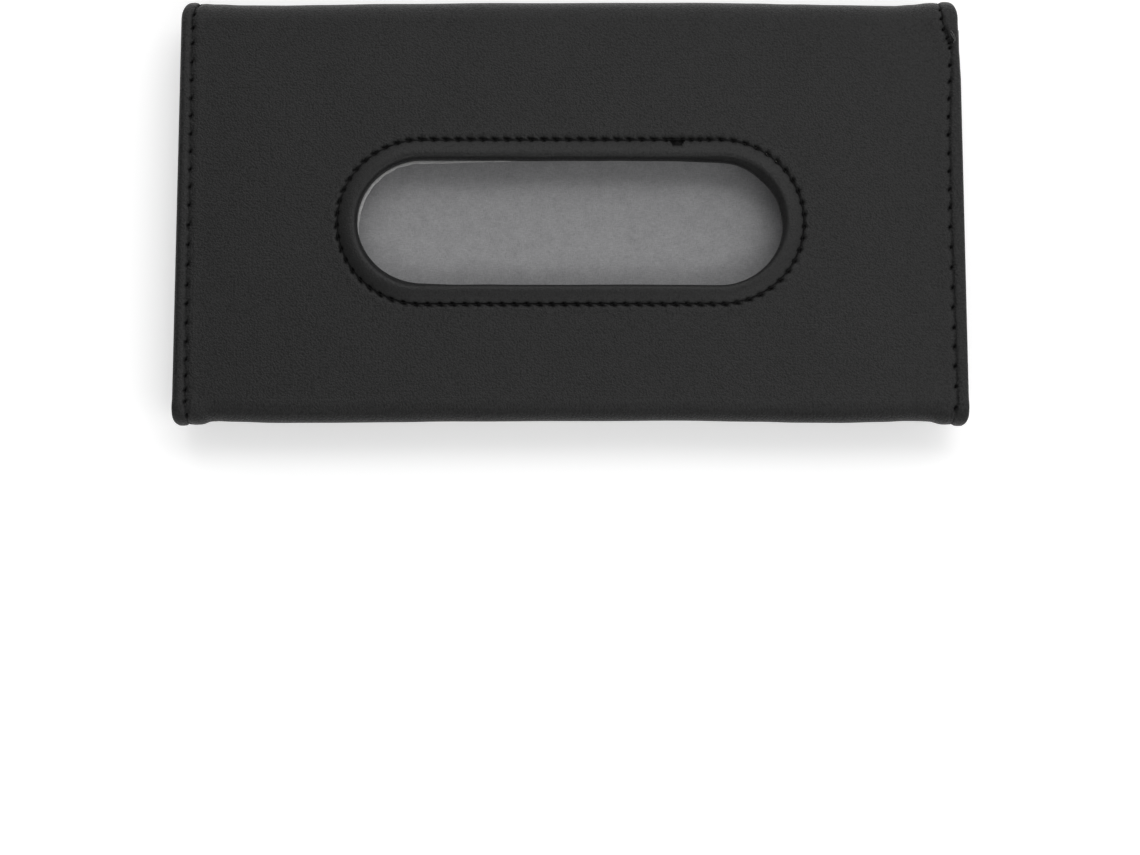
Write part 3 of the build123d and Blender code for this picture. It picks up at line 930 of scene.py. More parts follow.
def makeCrease():
    rows = np.linspace(sideStop, creaseAt + case["crease"], 15)
    s, v = np.meshgrid(columns, rows)
    place, dark, thin = caseSurface(s, v)
    flat = np.stack([s, v, s * 0], -1)
    makePiece(
        "creaseLeather", place, gridFaces(len(rows), len(columns)), caseBlack, None,
        flat=flat, ditch=dark, thick=case["leather"], thin=thin, bend=coverBend,
    )
    # the lining bends with it
    s, v = np.meshgrid(np.linspace(-liningHalf, liningHalf, 60), rows)
    faces = [f[::-1] for f in gridFaces(*s.shape)]
    makePiece(
        "creaseLining", liningSurface(s, v), faces, greyLining, None,
        flat=np.stack([s, v, s * 0], -1), thick=case["lining"], bend=coverBend,
    )


makeCrease()


def makeInnerLining():
    # one lining goes up the bottom fold, over the back of the front panel and round the top fold
    stretches = ((-bottomArc + 0.05, -0.1, 20), (2, frontLength - 2, 42), (frontLength, sideStop, 24))
    rows = np.concatenate([np.linspace(*stretch) for stretch in stretches])
    s, v = np.meshgrid(np.linspace(-liningHalf, liningHalf, 80), rows)
    s, v = s.ravel(), v.ravel()
    keep = windowMargin(s, bottomTangent + v) > 2.2
    cloud = [np.stack([s[keep], v[keep]], -1)]
    for margin in (1.0, 1.7):
        x, y, _ = ringPoint(np.linspace(0, ringLength, 300, endpoint=False), margin)
        cloud.append(np.stack([x, y - bottomTangent], -1))
    flatPoints, faces = fillFlat(np.concatenate(cloud))
    middle = flatPoints[faces].mean(1)
    faces = faces[windowMargin(middle[:, 0], bottomTangent + middle[:, 1]) > 1.0]
    s, v = flatPoints[:, 0], flatPoints[:, 1]
    points = liningSurface(s, v, ripple(8, s, v, ((40, 0.05),)))
    makePiece(
        "innerLining", points, faces[:, ::-1], greyLining, "front_shell",
        stands=("front_lining", "top_fold_lining", "bottom_fold_lining"),
        flat=np.column_stack([flatPoints, s * 0]), thick=case["lining"],
    )


makeInnerLining()
print("crease and lining ready")


# rolled rim round the window
rimLook = {
    # section from the seam over the roll, down the window's wall and under the lining,
    # (margin, height over the front)
    "section": ((5.68, -0.55), (5.6, -0.3), (5.4, -0.08), (4.9, 0.14), (4.2, 0.38), (3.4, 0.60),
                (2.6, 0.75), (1.9, 0.82), (1.4, 0.82), (1.0, 0.75), (0.66, 0.58), (0.4, 0.34),
                (0.2, 0.02), (0.07, -0.4), (0.0, -0.95), (0.0, -1.6), (0.0, -2.3), (0.06, -2.8),
                (0.3, -3.15), (0.8, -3.3), (2.2, -3.3), (4.0, -3.22), (4.0, -2.86), (2.2, -2.86),
                (1.05, -2.86), (0.86, -2.4), (0.86, -1.0), (0.9, -0.12), (2.5, -0.06), (4.3, -0.1),
                (5.3, -0.5)),
    "outside": 20,  # how many of these points lie on the visible side
    "unevenness": 0.07,
    "folds": 172,  # tension folds once round
    "foldHeight": 0.018,
    "hole": {"depth": 0.3, "inwards": 0.35, "long": 0.75, "wide": 0.5},
    "notchSink": (0.34, 0.6),  # how far under the front the rim's outer and inner side lie in the notch
    # where the wall under the roll stands in, (along the seam, how far)
    "lean": ((0, 0.0), (28, 0.05), (48, 0.7), (62, 1.1), (74, 0.7), (88, 0.15), (130, 0.0), (196, 0.1),
             (214, 0.75), (228, 0.55), (244, 0.1), (270, 0.0), (330, 0.0)),
}


def makeRim():
    lowQ, highQ = rim["notch"][0] - 1.5, rim["notch"][1] + 1.5
    stretches = ((0, lowQ, 0.6), (lowQ, highQ, 0.2), (highQ, ringLength - 0.3, 0.6))
    q = np.concatenate([np.arange(*stretch) for stretch in stretches])
    section = np.array(rimLook["section"])
    w, h = section[:, 0][None, :] + 0 * q[:, None], section[:, 1][None, :] + 0 * q[:, None]
    along = q[:, None] + 0 * w
    on = np.arange(section.shape[0])[None, :] < rimLook["outside"]
    ringX, ringY, _ = ringPoint(along, 3.0)
    uneven = ripple(21, ringX + 3 * w, ringY, ((38, 1.0), (15, 0.6)))
    w = w + rimLook["unevenness"] * uneven * (w < 3) * on
    low = smooth((0.3 - h) / 1.6) * smooth((3.0 - w) / 2.0)
    w = w - through(rimLook["lean"], along) * low
    x, y, _ = ringPoint(along, w)
    top, hole = on & (w > 3), rimLook["hole"]
    deep = np.zeros(x.shape)
    holeX = ringHoleX - hole["inwards"] * np.sin(ringTurn)
    holeY = ringHoleY - hole["inwards"] * np.cos(ringTurn)
    deep[top] = pits(x[top], y[top], holeX, holeY, -ringTurn, rim["slant"], hole["long"], hole["wide"])
    h = h - hole["depth"] * deep
    # tension folds of the leather over the roll
    pull = np.sin(2 * math.pi * along * rimLook["folds"] / ringLength + ripple(5, ringX, ringY, ((9, 3.0),)))
    h = h + rimLook["foldHeight"] * pull * bell(w - 1.4, 0.9) * on
    # a notch in the rim's edge, narrower at its bottom
    centre, halfNotch = sum(rim["notch"]) / 2, (rim["notch"][1] - rim["notch"][0]) / 2
    depthIn = (w - (rim["width"] - rim["notchDepth"])) / rim["notchDepth"]
    reach = (0.45 + 0.55 * np.clip(depthIn, 0, 1)) * halfNotch - np.abs(along - centre)
    cut = smooth(reach / 0.5 + 0.5) * (depthIn > 0) * (h > -1)
    h = h * (1 - cut) - np.where(on, *rimLook["notchSink"]) * cut
    z = case["frontTop"] + h
    # painted shade along the rim's outer edge, where it tucks into the seam
    edgePaintedShade = 0.9 * smooth((w - 5.42) / 0.18) * on
    # painted shade in the stitch holes and in the notch
    dark = np.clip(deep + 0.75 * np.minimum(4 * cut, 1) + edgePaintedShade, 0, 1)
    faces = gridFaces(len(q), section.shape[0], closeRows=True, closeColumns=True)
    flat = np.stack([x, y, h * 1.5], -1)
    makePiece("rimLeather", np.stack([x, y, z], -1), faces, rimBlack, "front_shell",
              stands=("window_binding",), flat=flat, ditch=dark, faceAway=(0, 0, 1))


makeRim()

peek = {"from": 236.0, "to": 310.0, "reach": 0.62, "thickness": 0.4, "drop": 3.15}


def makeLiningPeek():
    # the lining's pale cut edge shows below the rim at the window's upper left
    q = np.linspace(peek["from"], peek["to"], 120)
    t = (q - q[0]) / (q[-1] - q[0])
    reach = peek["reach"] * smooth(t / 0.22) * smooth((1 - t) / 0.35)
    reach = reach * (1 + ripple(52, q, 0 * q, ((23, 0.25), (6, 0.2))))
    rows = []
    for share, low in ((-1.0, 0), (0.6, 0), (1.0, 0.15), (1.0, 0.85), (0.6, 1), (-1.0, 1)):
        margin = -reach * share if share > 0 else np.full(q.shape, 0.9)
        x, y, _ = ringPoint(q, margin)
        z = case["frontTop"] - peek["drop"] - peek["thickness"] * low + 0 * q
        rows.append(np.stack([x, y, z], -1))
    makePiece("liningPeek", np.stack(rows, 1), tubeFaces(len(q), len(rows)), cutEdge, "front_shell",
              faceAway=(0, 0, 1))


makeLiningPeek()
print("rim ready")


# leather wrapped round a board on three sides: the cover and the lip
def platePath(spec, inset, step=1.0):
    # the outline, moved in by inset, from one open corner round the closed edge to the other
    forward = 1 if spec["closedY"] > spec["openY"] else -1
    rho = max(spec["corner"] - inset, 0.3)
    cornerX, cornerY = spec["half"] - inset - rho, spec["closedY"] - forward * (inset + rho)
    sideCount = int(abs(spec["closedY"] - spec["openY"]) / step)
    widthCount = int(2 * spec["half"] / step)
    t = np.linspace(0, 1, sideCount)
    down = np.stack([0 * t - (spec["half"] - inset), spec["openY"] + (cornerY - spec["openY"]) * t], -1)
    a = np.linspace(0, math.pi / 2, 9)[1:-1]
    bend = np.stack([-cornerX - rho * np.cos(a), cornerY + forward * rho * np.sin(a)], -1)
    t = np.linspace(-1, 1, widthCount)
    along = np.stack([cornerX * t, np.full(widthCount, spec["closedY"] - forward * inset)], -1)
    mirrored = np.concatenate([down, bend]) * np.array([-1, 1])
    return np.concatenate([down, bend, along, mirrored[::-1]])


def insetOf(spec, x, y):
    # distance from the nearest edge, the open one left out
    forward = 1 if spec["closedY"] > spec["openY"] else -1
    return np.minimum(spec["half"] - np.abs(x), forward * (spec["closedY"] - y))


def lineWalk(points):
    # a line's places by the distance walked along it, and its length
    lengths = np.concatenate([[0], np.cumsum(np.linalg.norm(np.diff(points, axis=0), axis=1))])

    def place(q):
        return np.stack([np.interp(q, lengths, points[:, k]) for k in range(points.shape[1])], -1)

    return place, lengths[-1]


plateLook = {
    "seamDepth": 0.3,
    "seamWidth": 0.32,
    # painted shade in the seam's ditch
    "seamPaintedShade": 0.5,
    "bulge": 0.2,
    "mound": (0.07, 1.9, 1.2),  # beside the seam: height, distance inwards, width
    "hole": {"depth": 0.32, "slant": 24, "long": 0.5, "wide": 0.32},
    "waves": ((60, 0.08), (25, 0.03)),
    # outlines that points are put along, by their distance from the edge
    "rings": (10.0, 7.5, 6.0, 5.0, 4.4, 4.0, 3.7, 3.4, 3.1, 2.8, 2.3, 1.7, 1.2),
}


def wrappedPlate(name, spec, body, stands):
    # returns its seam as a walk and the places of its stitch holes along it
    look, hole = plateLook, plateLook["hole"]
    seam, seamLength = lineWalk(platePath(spec, spec["seamInset"]))
    marks = np.arange(2.0, seamLength - 1.0, spec["pitch"])
    holes = seam(marks)
    ahead = seam(marks + 0.3) - seam(marks - 0.3)
    holeTurn = np.arctan2(ahead[:, 1], ahead[:, 0])

    def heightOf(x, y):
        d = insetOf(spec, x, y) - spec["seamInset"]
        ditch = bell(d, look["seamWidth"])
        band = np.clip(-d / spec["seamInset"], 0, 1)
        tall, inwards, wide = look["mound"]
        high = look["bulge"] * np.sin(math.pi * band) ** 0.8 - look["seamDepth"] * ditch
        high = high + tall * bell(d - inwards, wide)
        near = np.abs(d) < 3
        deep = np.zeros(x.shape)
        deep[near] = pits(x[near], y[near], *holes.T, holeTurn, hole["slant"], hole["long"], hole["wide"])
        wave = ripple(spec["seed"], x, y, look["waves"])
        # the second value is the painted shade in the seam's ditch and stitch holes
        return high - hole["depth"] * deep + wave, np.maximum(look["seamPaintedShade"] * ditch, deep)

    # points close together along the edge and the seam, wide apart inside
    rings = [platePath(spec, inset) for inset in look["rings"]]
    gridX, gridY = np.meshgrid(np.arange(-spec["half"] + 12, spec["half"] - 11.9, 3.0),
                               np.linspace(spec["openY"], spec["closedY"], 40))
    inside = insetOf(spec, gridX, gridY) > 11.5
    cloud = np.concatenate(rings + [np.stack([gridX[inside], gridY[inside]], -1)])
    a = np.arange(6) * math.pi / 3
    for middle in holes:
        cloud = np.concatenate([cloud, middle + 0.3 * np.stack([np.cos(a), np.sin(a)], -1)])
    _, first = np.unique(np.round(cloud, 3), axis=0, return_index=True)
    flatPoints, faces = fillFlat(cloud[np.sort(first)])
    high, dark = heightOf(flatPoints[:, 0], flatPoints[:, 1])
    points = [np.column_stack([flatPoints, spec["outerZ"] - high])]
    allPaintedShade, allFlat = [dark], [np.column_stack([flatPoints, 0 * dark])]
    # round the edge and under it, (inset, drop)
    outer, inner, depth = case["edgeRound"], case["innerRound"], spec["depth"]
    profile = []
    for t in np.radians((0, 22.5, 45, 67.5, 90)):
        profile.append((outer * (1 - math.sin(t)), outer * (1 - math.cos(t))))
    profile.append((0.0, depth - inner))
    for t in np.radians((30, 60, 90)):
        profile.append((inner * (1 - math.cos(t)), depth - inner + inner * math.sin(t)))
    profile += [(2.0, depth), (5.0, depth), (8.5, depth), (spec["hem"], depth)]
    base = len(flatPoints)
    count = len(platePath(spec, 0))
    for inset, drop in profile:
        line = platePath(spec, inset)
        edgeHigh, edgePaintedShade = heightOf(line[:, 0], line[:, 1])
        share = max(1 - drop / outer, 0) if inset <= outer and drop < outer else 0
        points.append(np.column_stack([line, spec["outerZ"] + drop - edgeHigh * share]))
        allPaintedShade.append(edgePaintedShade * share)
        allFlat.append(np.column_stack([line[:, 0], line[:, 1] - drop, 0 * line[:, 0]]))
    allFaces = faces.tolist() + (np.array(gridFaces(len(profile), count)) + base).tolist()
    makePiece(
        name, np.concatenate(points), allFaces, caseBlack, body, stands=stands,
        flat=np.concatenate(allFlat), ditch=np.concatenate(allPaintedShade), thick=spec["skin"], faceAway=(0, 0, -1),
    )
    return seam, marks


coverPlate = {
    "half": 113.8, "openY": topTangent - case["crease"], "closedY": coverLow, "outerZ": case["coverBottom"],
    "depth": 2.8, "hem": 12.0, "corner": 2.6, "seamInset": 3.4, "pitch": 5.3, "seed": 31, "skin": 0.42,
}
coverSeam, coverMarks = wrappedPlate("coverLeather", coverPlate, "back_cover", ("cover_skin",))
lipPlate = {
    "half": 104.9, "openY": bottomTangent, "closedY": bottomTangent + 26, "outerZ": 8.0,
    "depth": 2.6, "hem": 12.0, "corner": 2.0, "seamInset": 3.2, "pitch": 5.3, "seed": 37, "skin": 0.42,
}
lipSeam, lipMarks = wrappedPlate("lipLeather", lipPlate, "front_shell", ("lip_skin",))


coverCloth = {"half": 101.7, "from": coverLow + 12.1, "to": topTangent - case["crease"] + 0.02, "top": 7.66,
              "waves": ((46, 0.10), (19, 0.03)), "seed": 12}
lipCloth = {"half": 92.8, "from": bottomTangent, "to": bottomTangent + 13.9, "top": 10.56,
            "waves": ((46, 0.10), (19, 0.03)), "seed": 14}


def flatLining(name, cloth, body, stands):
    rows = np.linspace(cloth["from"], cloth["to"], max(int((cloth["to"] - cloth["from"]) / 2), 6))
    x, y = np.meshgrid(np.linspace(-cloth["half"], cloth["half"], 100), rows)
    z = cloth["top"] + ripple(cloth["seed"], x, y, cloth["waves"])
    makePiece(name, np.stack([x, y, z], -1), gridFaces(*x.shape), greyLining, body,
              stands=stands, thick=case["lining"])


flatLining("coverLining", coverCloth, "back_cover", ("cover_lining",))
flatLining("lipLining", lipCloth, "front_shell", ("lip_lining",))
print("cover and lip ready")

# gussets: a bellows at each end
gusset = {
    "edge": 115.0, "flange": 8.5, "top": 17.1, "low": 8.0, "foldIn": 106.0, "foot": 104.9, "cover": 113.8,
    "bend": 1.2, "sheet": 0.75, "from": 53.6, "to": bottomTangent, "waves": ((17, 0.22), (7, 0.10)),
}


def roundedLine(corners, radius, step=0.35):
    # a line through corners with its bends rounded
    corners = np.array(corners, float)
    out = [corners[0]]
    for before, corner, after in zip(corners[:-2], corners[1:-1], corners[2:]):
        a, b = before - corner, after - corner
        la, lb = np.linalg.norm(a), np.linalg.norm(b)
        a, b = a / la, b / lb
        angle = math.acos(float(np.clip(a @ b, -1, 1)))
        r = min(radius, 0.49 * min(la, lb) * math.tan(angle / 2))
        run = r / math.tan(angle / 2)
        centre = corner + (a + b) / np.linalg.norm(a + b) * (r / math.sin(angle / 2))
        first, last = corner + a * run - centre, corner + b * run - centre
        turn = math.atan2(first[0] * last[1] - first[1] * last[0], float(first @ last))
        for t in np.linspace(0, 1, max(int(abs(turn) * r / step), 4)):
            c, s = math.cos(turn * t), math.sin(turn * t)
            out.append(centre + np.array([first[0] * c - first[1] * s, first[0] * s + first[1] * c]))
    out.append(corners[-1])
    return np.array(out)


def makeGusset(side, name, stands):
    g = gusset
    mid = (g["top"] + g["low"]) / 2
    line = roundedLine([
        (g["edge"] - g["flange"], g["top"]), (g["edge"], g["top"]), (g["edge"], g["top"] - 2 * g["bend"]),
        (g["foldIn"], mid + g["bend"]), (g["foldIn"], mid - g["bend"]), (g["cover"], g["low"] + 2 * g["bend"]),
        (g["cover"], g["low"]), (g["foot"], g["low"]),
    ], g["bend"])
    ahead = np.gradient(line, axis=0)
    ahead /= np.linalg.norm(ahead, axis=1)[:, None]
    inner = line + g["sheet"] * np.column_stack([ahead[:, 1], -ahead[:, 0]])
    loop = np.concatenate([line, inner[::-1]])
    y = np.linspace(g["from"], g["to"], 64)
    t = np.linspace(0, 1, len(line))
    free = smooth((t - 0.16) / 0.12) * smooth((0.86 - t) / 0.12)
    free = np.concatenate([free, free[::-1]])
    wave = ripple(40 + side, y[:, None], loop[:, 1][None, :] * 2, g["waves"]) * free[None, :]
    x = side * (loop[:, 0][None, :] - np.abs(wave))
    z = loop[:, 1][None, :] + 0.4 * wave
    yy = y[:, None] + 0 * x
    points = np.stack([x, yy, z + 0 * x], -1)
    faces = tubeFaces(len(y), len(loop))
    along = np.concatenate([np.linspace(0, 40, len(line)), np.linspace(40, 0, len(line))])
    flat = np.stack([along[None, :] + 0 * x, yy, 0 * x], -1)
    piece = makePiece(name, points, faces, coatedCloth, "front_shell", stands=stands, flat=flat)
    tidyFaces(piece.data)


makeGusset(-1, "gussetLeft", ("left_gusset",))
makeGusset(1, "gussetRight", ("right_gusset",))
print("gussets ready")

# strap: webbing sewn down the cover, folded over, with a free tail
strap = {
    "half": 20.0, "webbing": 1.3, "fold": 47.1, "radius": 2.45, "base": 100.0, "tail": 96.2, "tailRound": 7.0,
    "rib": 1.0, "ribHeight": 0.07, "pick": 2.6, "pickHeight": 0.018, "crease": 2.2,
}
strapPath = bendPath(
    (strap["fold"] - strap["base"], case["coverBottom"]), 0.0,
    [(strap["base"], None), (math.pi * strap["radius"], strap["radius"]), (strap["tail"], None)],
)
strapCrease = strap["base"] + math.pi * strap["radius"]


def makeWebbing(name, low, high, body, stands, endRound=0.0, bend=None):
    rows = np.concatenate([[low], np.arange(low + 0.35, high - 0.4, 1.3), [high]])
    if low < strap["base"] < high:
        rows = np.unique(np.concatenate([rows[rows < strap["base"]], np.linspace(strap["base"], high, 26)]))
    if endRound:
        ends = high - endRound * (1 - np.cos(np.linspace(0, math.pi / 2, 12)))
        rows = np.unique(np.concatenate([rows, ends]))
    x = np.arange(-strap["half"] + 0.3, strap["half"] - 0.29, 0.25)
    rib = 0.5 - 0.5 * np.cos(2 * math.pi * x / strap["rib"])
    faceTop, faceLow = strap["ribHeight"] * rib, strap["webbing"] - strap["ribHeight"] * rib
    edge = np.array([[0.24, 0.16], [0.3, 0.65], [0.24, 1.14]])
    side = strap["half"] - 0.3
    loopX = np.concatenate([x, side + edge[:, 0], x[::-1], -side - edge[::-1, 0]])
    loopZ = np.concatenate([faceTop, edge[:, 1], faceLow[::-1], edge[::-1, 1]])
    half = np.full(rows.shape, strap["half"])
    if endRound:
        left = np.clip(rows - (high - endRound), 0, endRound)
        half = strap["half"] - endRound + np.sqrt(np.maximum(endRound**2 - left**2, 0))
        half = np.maximum(half, strap["half"] - endRound + 0.05)
    v = rows[:, None] + 0 * loopX[None, :]
    px = np.clip(loopX[None, :] + 0 * v, -half[:, None], half[:, None])
    drop = loopZ[None, :] + 0 * v
    pick = strap["pickHeight"] * np.sin(2 * math.pi * v / strap["pick"]) * (np.abs(px) < strap["half"] - 0.5)
    y, z, ny, nz = strapPath(v)
    lift = -drop + pick * (drop < 0.6) - 0.03
    points = np.stack([px, y + lift * ny, z + lift * nz], -1)
    flat = np.stack([px, v + 0.3 * (drop > 0.6), 0 * v], -1)
    # the closed skin has both faces, so its sides are only made to agree
    makePiece(name, points, tubeFaces(len(rows), len(loopX)), elasticWeave, body,
              stands=stands, flat=flat, bend=bend, faceAway=(0, 0, 0))


foldFrom, foldTo, tailEnd = (strapCrease + more for more in (-strap["crease"], strap["crease"], strap["tail"]))
strapBend = ("back_cover", "tail", (0, (strap["fold"] + 0.8) * mm, 0),
             (0, (strap["fold"] - strap["crease"]) * mm, 0))
makeWebbing("strapWebbing", 0.0, foldFrom, "back_cover", ("strap_base",))
makeWebbing("strapFold", foldFrom, foldTo, None, (), bend=strapBend)
makeWebbing("tailWebbing", foldTo, tailEnd, "tail", ("strap_tail",), endRound=strap["tailRound"])


def roundedOutline(cx, cy, width, length, radius):
    out = []
    for qx, qy, start in ((1, 1, 0), (-1, 1, 90), (-1, -1, 180), (1, -1, 270)):
        for a in np.radians(start + np.linspace(0, 90, 7)):
            out.append((cx + qx * (width / 2 - radius) + radius * math.cos(a),
                        cy + qy * (length / 2 - radius) + radius * math.sin(a)))
    return np.array(out)


def moveIn(outline, centre, amount):
    # shrinks an outline about its centre by a margin on each side
    size = np.abs(outline - centre).max(0)
    return centre + (outline - centre) * (1 - amount / size)


def softPlate(name, centre, width, length, radius, lowZ, highZ, bevel, material, body, stands,
              inner=()):
    # a thin plate with rounded edges; inner gives more rings on its face as (inset, height)
    outline = roundedOutline(*centre, width, length, radius)
    mid = np.array(centre)
    rings = [(bevel, lowZ), (bevel * 0.3, lowZ + bevel * 0.3), (0.0, lowZ + bevel), (0.0, highZ - bevel),
             (bevel * 0.3, highZ - bevel * 0.3), (bevel, highZ)]
    rings += [(inset, highZ + high) for inset, high in inner]
    count = len(outline)
    points = [np.column_stack([moveIn(outline, mid, inset), np.full(count, z)]) for inset, z in rings]
    faces = gridFaces(len(rings), count, closeColumns=True)
    faces.append(list(range(count))[::-1])
    faces.append(list(range((len(rings) - 1) * count, len(rings) * count)))
    piece = makePiece(name, np.concatenate(points), faces, material, body, stands=stands)
    tidyFaces(piece.data)


baseEnd = strap["fold"] - strap["base"]
tailEndY = strap["fold"] - strap["tail"]
loopPatch = {
    "centre": (0, baseEnd + 12 + 21), "width": 35.0, "length": 42.0, "round": 2.0, "bevel": 0.12,
    "z": case["coverBottom"] - strap["webbing"], "backing": 0.4, "pile": 0.6, "loops": 1500,
}
hookPatch = {
    "centre": (0, tailEndY + 12 + 15), "width": 33.0, "length": 30.0, "z": strap["webbing"],
    "round": 2.0, "bevel": 0.12, "backing": 0.35, "height": 0.62, "pitch": 1.15,
}
pullTab = {"centre": (0, tailEndY + 5 - 7), "width": 24.0, "length": 14.0, "round": 5.0, "z": strap["webbing"],
           "thick": 0.9, "bevel": 0.3, "rings": ((1.1, 0.02), (1.5, -0.14), (1.9, 0.02), (3.5, 0.05))}


def tubes(lines, radius, sides):
    # thin round rods along short lines: (rods, steps, 3)
    ahead = np.gradient(lines, axis=1)
    ahead /= np.maximum(np.linalg.norm(ahead, axis=2, keepdims=True), 1e-9)
    guide = np.where(np.abs(ahead[..., :1]) < 0.9, np.array([1.0, 0, 0]), np.array([0, 1.0, 0]))
    sideways = np.cross(ahead, guide)
    sideways /= np.linalg.norm(sideways, axis=2, keepdims=True)
    upwards = np.cross(sideways, ahead)
    a = np.arange(sides) * 2 * math.pi / sides
    rods, steps = lines.shape[:2]
    c, s = np.cos(a)[:, None], np.sin(a)[:, None]
    points = lines[:, :, None] + radius * (c * sideways[:, :, None] + s * upwards[:, :, None])
    one = tubeFaces(steps, sides)
    faces = [[corner + k * steps * sides for corner in face] for k in range(rods) for face in one]
    return points.reshape(-1, 3), faces


def makeLoops():
    p = loopPatch
    softPlate("loopBacking", p["centre"], p["width"], p["length"], p["round"], p["z"] - p["backing"], p["z"],
              p["bevel"], softPile, "back_cover", ("loop_patch",))
    draw = np.random.default_rng(17)
    count = p["loops"]
    cx = p["centre"][0] + draw.uniform(-0.47, 0.47, count) * p["width"]
    cy = p["centre"][1] + draw.uniform(-0.47, 0.47, count) * p["length"]
    turn, reach = draw.uniform(0, math.pi, count), draw.uniform(0.25, 0.55, count)
    tall = draw.uniform(0.6, 1.0, count) * p["pile"]
    t = np.linspace(0, math.pi, 7)
    along = -np.cos(t)[None, :] * reach[:, None]
    lines = np.stack([
        cx[:, None] + along * np.cos(turn)[:, None], cy[:, None] + along * np.sin(turn)[:, None],
        p["z"] - p["backing"] + 0.05 - np.sin(t)[None, :] * tall[:, None],
    ], -1)
    points, faces = tubes(lines, 0.055, 4)
    makePiece("loopPile", points, faces, softPile, "back_cover")


def makeHooks():
    p = hookPatch
    softPlate("hookBacking", p["centre"], p["width"], p["length"], p["round"], p["z"], p["z"] + p["backing"],
              p["bevel"], hookPlastic, "tail", ("hook_patch",))
    xs = np.arange(-p["width"] / 2 + 1.3, p["width"] / 2 - 1.2, p["pitch"])
    ys = np.arange(-p["length"] / 2 + 1.3, p["length"] / 2 - 1.2, p["pitch"])
    gx, gy = np.meshgrid(xs, ys)
    flip = np.where(np.round((gy - ys[0]) / p["pitch"]).astype(int) % 2, 1.0, -1.0).ravel()
    gx, gy = gx.ravel() + p["centre"][0], gy.ravel() + p["centre"][1]
    shape = np.array([(0.0, -0.03), (0.02, 0.25), (0.08, 0.45), (0.22, 0.58), (0.38, 0.55), (0.44, 0.42)])
    lines = np.stack([
        gx[:, None] + flip[:, None] * (shape[:, 0] - 0.15)[None, :], gy[:, None] + 0 * shape[:, 0][None, :],
        p["z"] + p["backing"] + shape[:, 1][None, :] * (p["height"] / 0.6) + 0 * gx[:, None],
    ], -1)
    points, faces = tubes(lines, 0.09, 4)
    makePiece("hookRows", points, faces, hookPlastic, "tail")


makeLoops()
makeHooks()
p = pullTab
softPlate("pullTab", p["centre"], p["width"], p["length"], p["round"], p["z"], p["z"] + p["thick"], p["bevel"],
          strapLeather, "tail", ("pull_tab",), inner=p["rings"])


anchor = {
    # half of its line over the strap, (across, how far under the cover)
    "line": ((27, 0.9), (21.2, 0.9), (20.5, 2.2)),
    "bend": 0.7,
    "leather": 0.82,
    # places along it, and how far its outer side falls there
    "rows": (0.0, 0.12, 0.4, 1.0, 1.4, 1.8, 3, 4, 5, 6, 7, 8.2, 8.6, 9.0, 9.6, 9.88, 10.0),
    "fall": (0.3, 0.1, 0, 0, 0.1, 0, -0.04, -0.05, -0.05, -0.05, -0.04, 0, 0.1, 0, 0, 0.1, 0.3),
}


def makeAnchor(name, lowY, stands):
    half = [(x, case["coverBottom"] - under) for x, under in anchor["line"]]
    line = roundedLine([(-x, z) for x, z in half] + half[::-1], anchor["bend"])
    ahead = np.gradient(line, axis=0)
    ahead /= np.linalg.norm(ahead, axis=1)[:, None]
    inner = line + anchor["leather"] * np.column_stack([-ahead[:, 1], ahead[:, 0]])
    loop = np.concatenate([line, inner[::-1]])
    y, fall = lowY + np.array(anchor["rows"]), np.array(anchor["fall"])
    outer = np.concatenate([np.ones(len(line)), np.zeros(len(inner))])
    x = loop[:, 0][None, :] + 0 * y[:, None]
    zz = loop[:, 1][None, :] + fall[:, None] * outer[None, :]
    points = np.stack([x, y[:, None] + 0 * x, zz], -1)
    piece = makePiece(name, points, tubeFaces(len(y), len(loop)), strapLeather, "back_cover",
                      stands=stands)
    tidyFaces(piece.data)


# pale threads of the backing stand out of the hem where the right seam's runs meet, given by their two ends
fray = {
    "strands": (((111.9, 108.9), (112.7, 107.6)), ((112.3, 108.6), (112.8, 106.4)),
                ((112.8, 108.0), (113.1, 105.7)), ((111.8, 108.1), (112.6, 107.2)),
                ((112.4, 107.1), (113.2, 106.7)), ((113.0, 106.6), (112.8, 105.2))),
    "radius": 0.13,
    "stand": 0.12,
}


def makeFray():
    share = np.linspace(0, 1, 7)
    lines = []
    for i, (begin, end) in enumerate(fray["strands"]):
        s = begin[0] + (end[0] - begin[0]) * share + 0.12 * np.sin(math.pi * share * (1 + i % 2))
        v = begin[1] + (end[1] - begin[1]) * share
        y, z, ny, nz = casePath(v)
        high = caseHeight(s, v, ny, nz)[0] + fray["stand"] * np.sin(math.pi * share)
        lines.append(np.stack([s, y + high * ny, z + high * nz], -1))
    points, faces = tubes(np.array(lines), fray["radius"], 5)
    piece = makePiece("hemFray", points, faces, paleThread, "front_shell")
    tidyFaces(piece.data)


makeFray()

anchorY = {"upperAnchor": strap["fold"] - 13.0, "lowerAnchor": baseEnd}
makeAnchor("upperAnchor", anchorY["upperAnchor"], ("upper_anchor",))
makeAnchor("lowerAnchor", anchorY["lowerAnchor"], ("lower_anchor",))
print("strap ready")


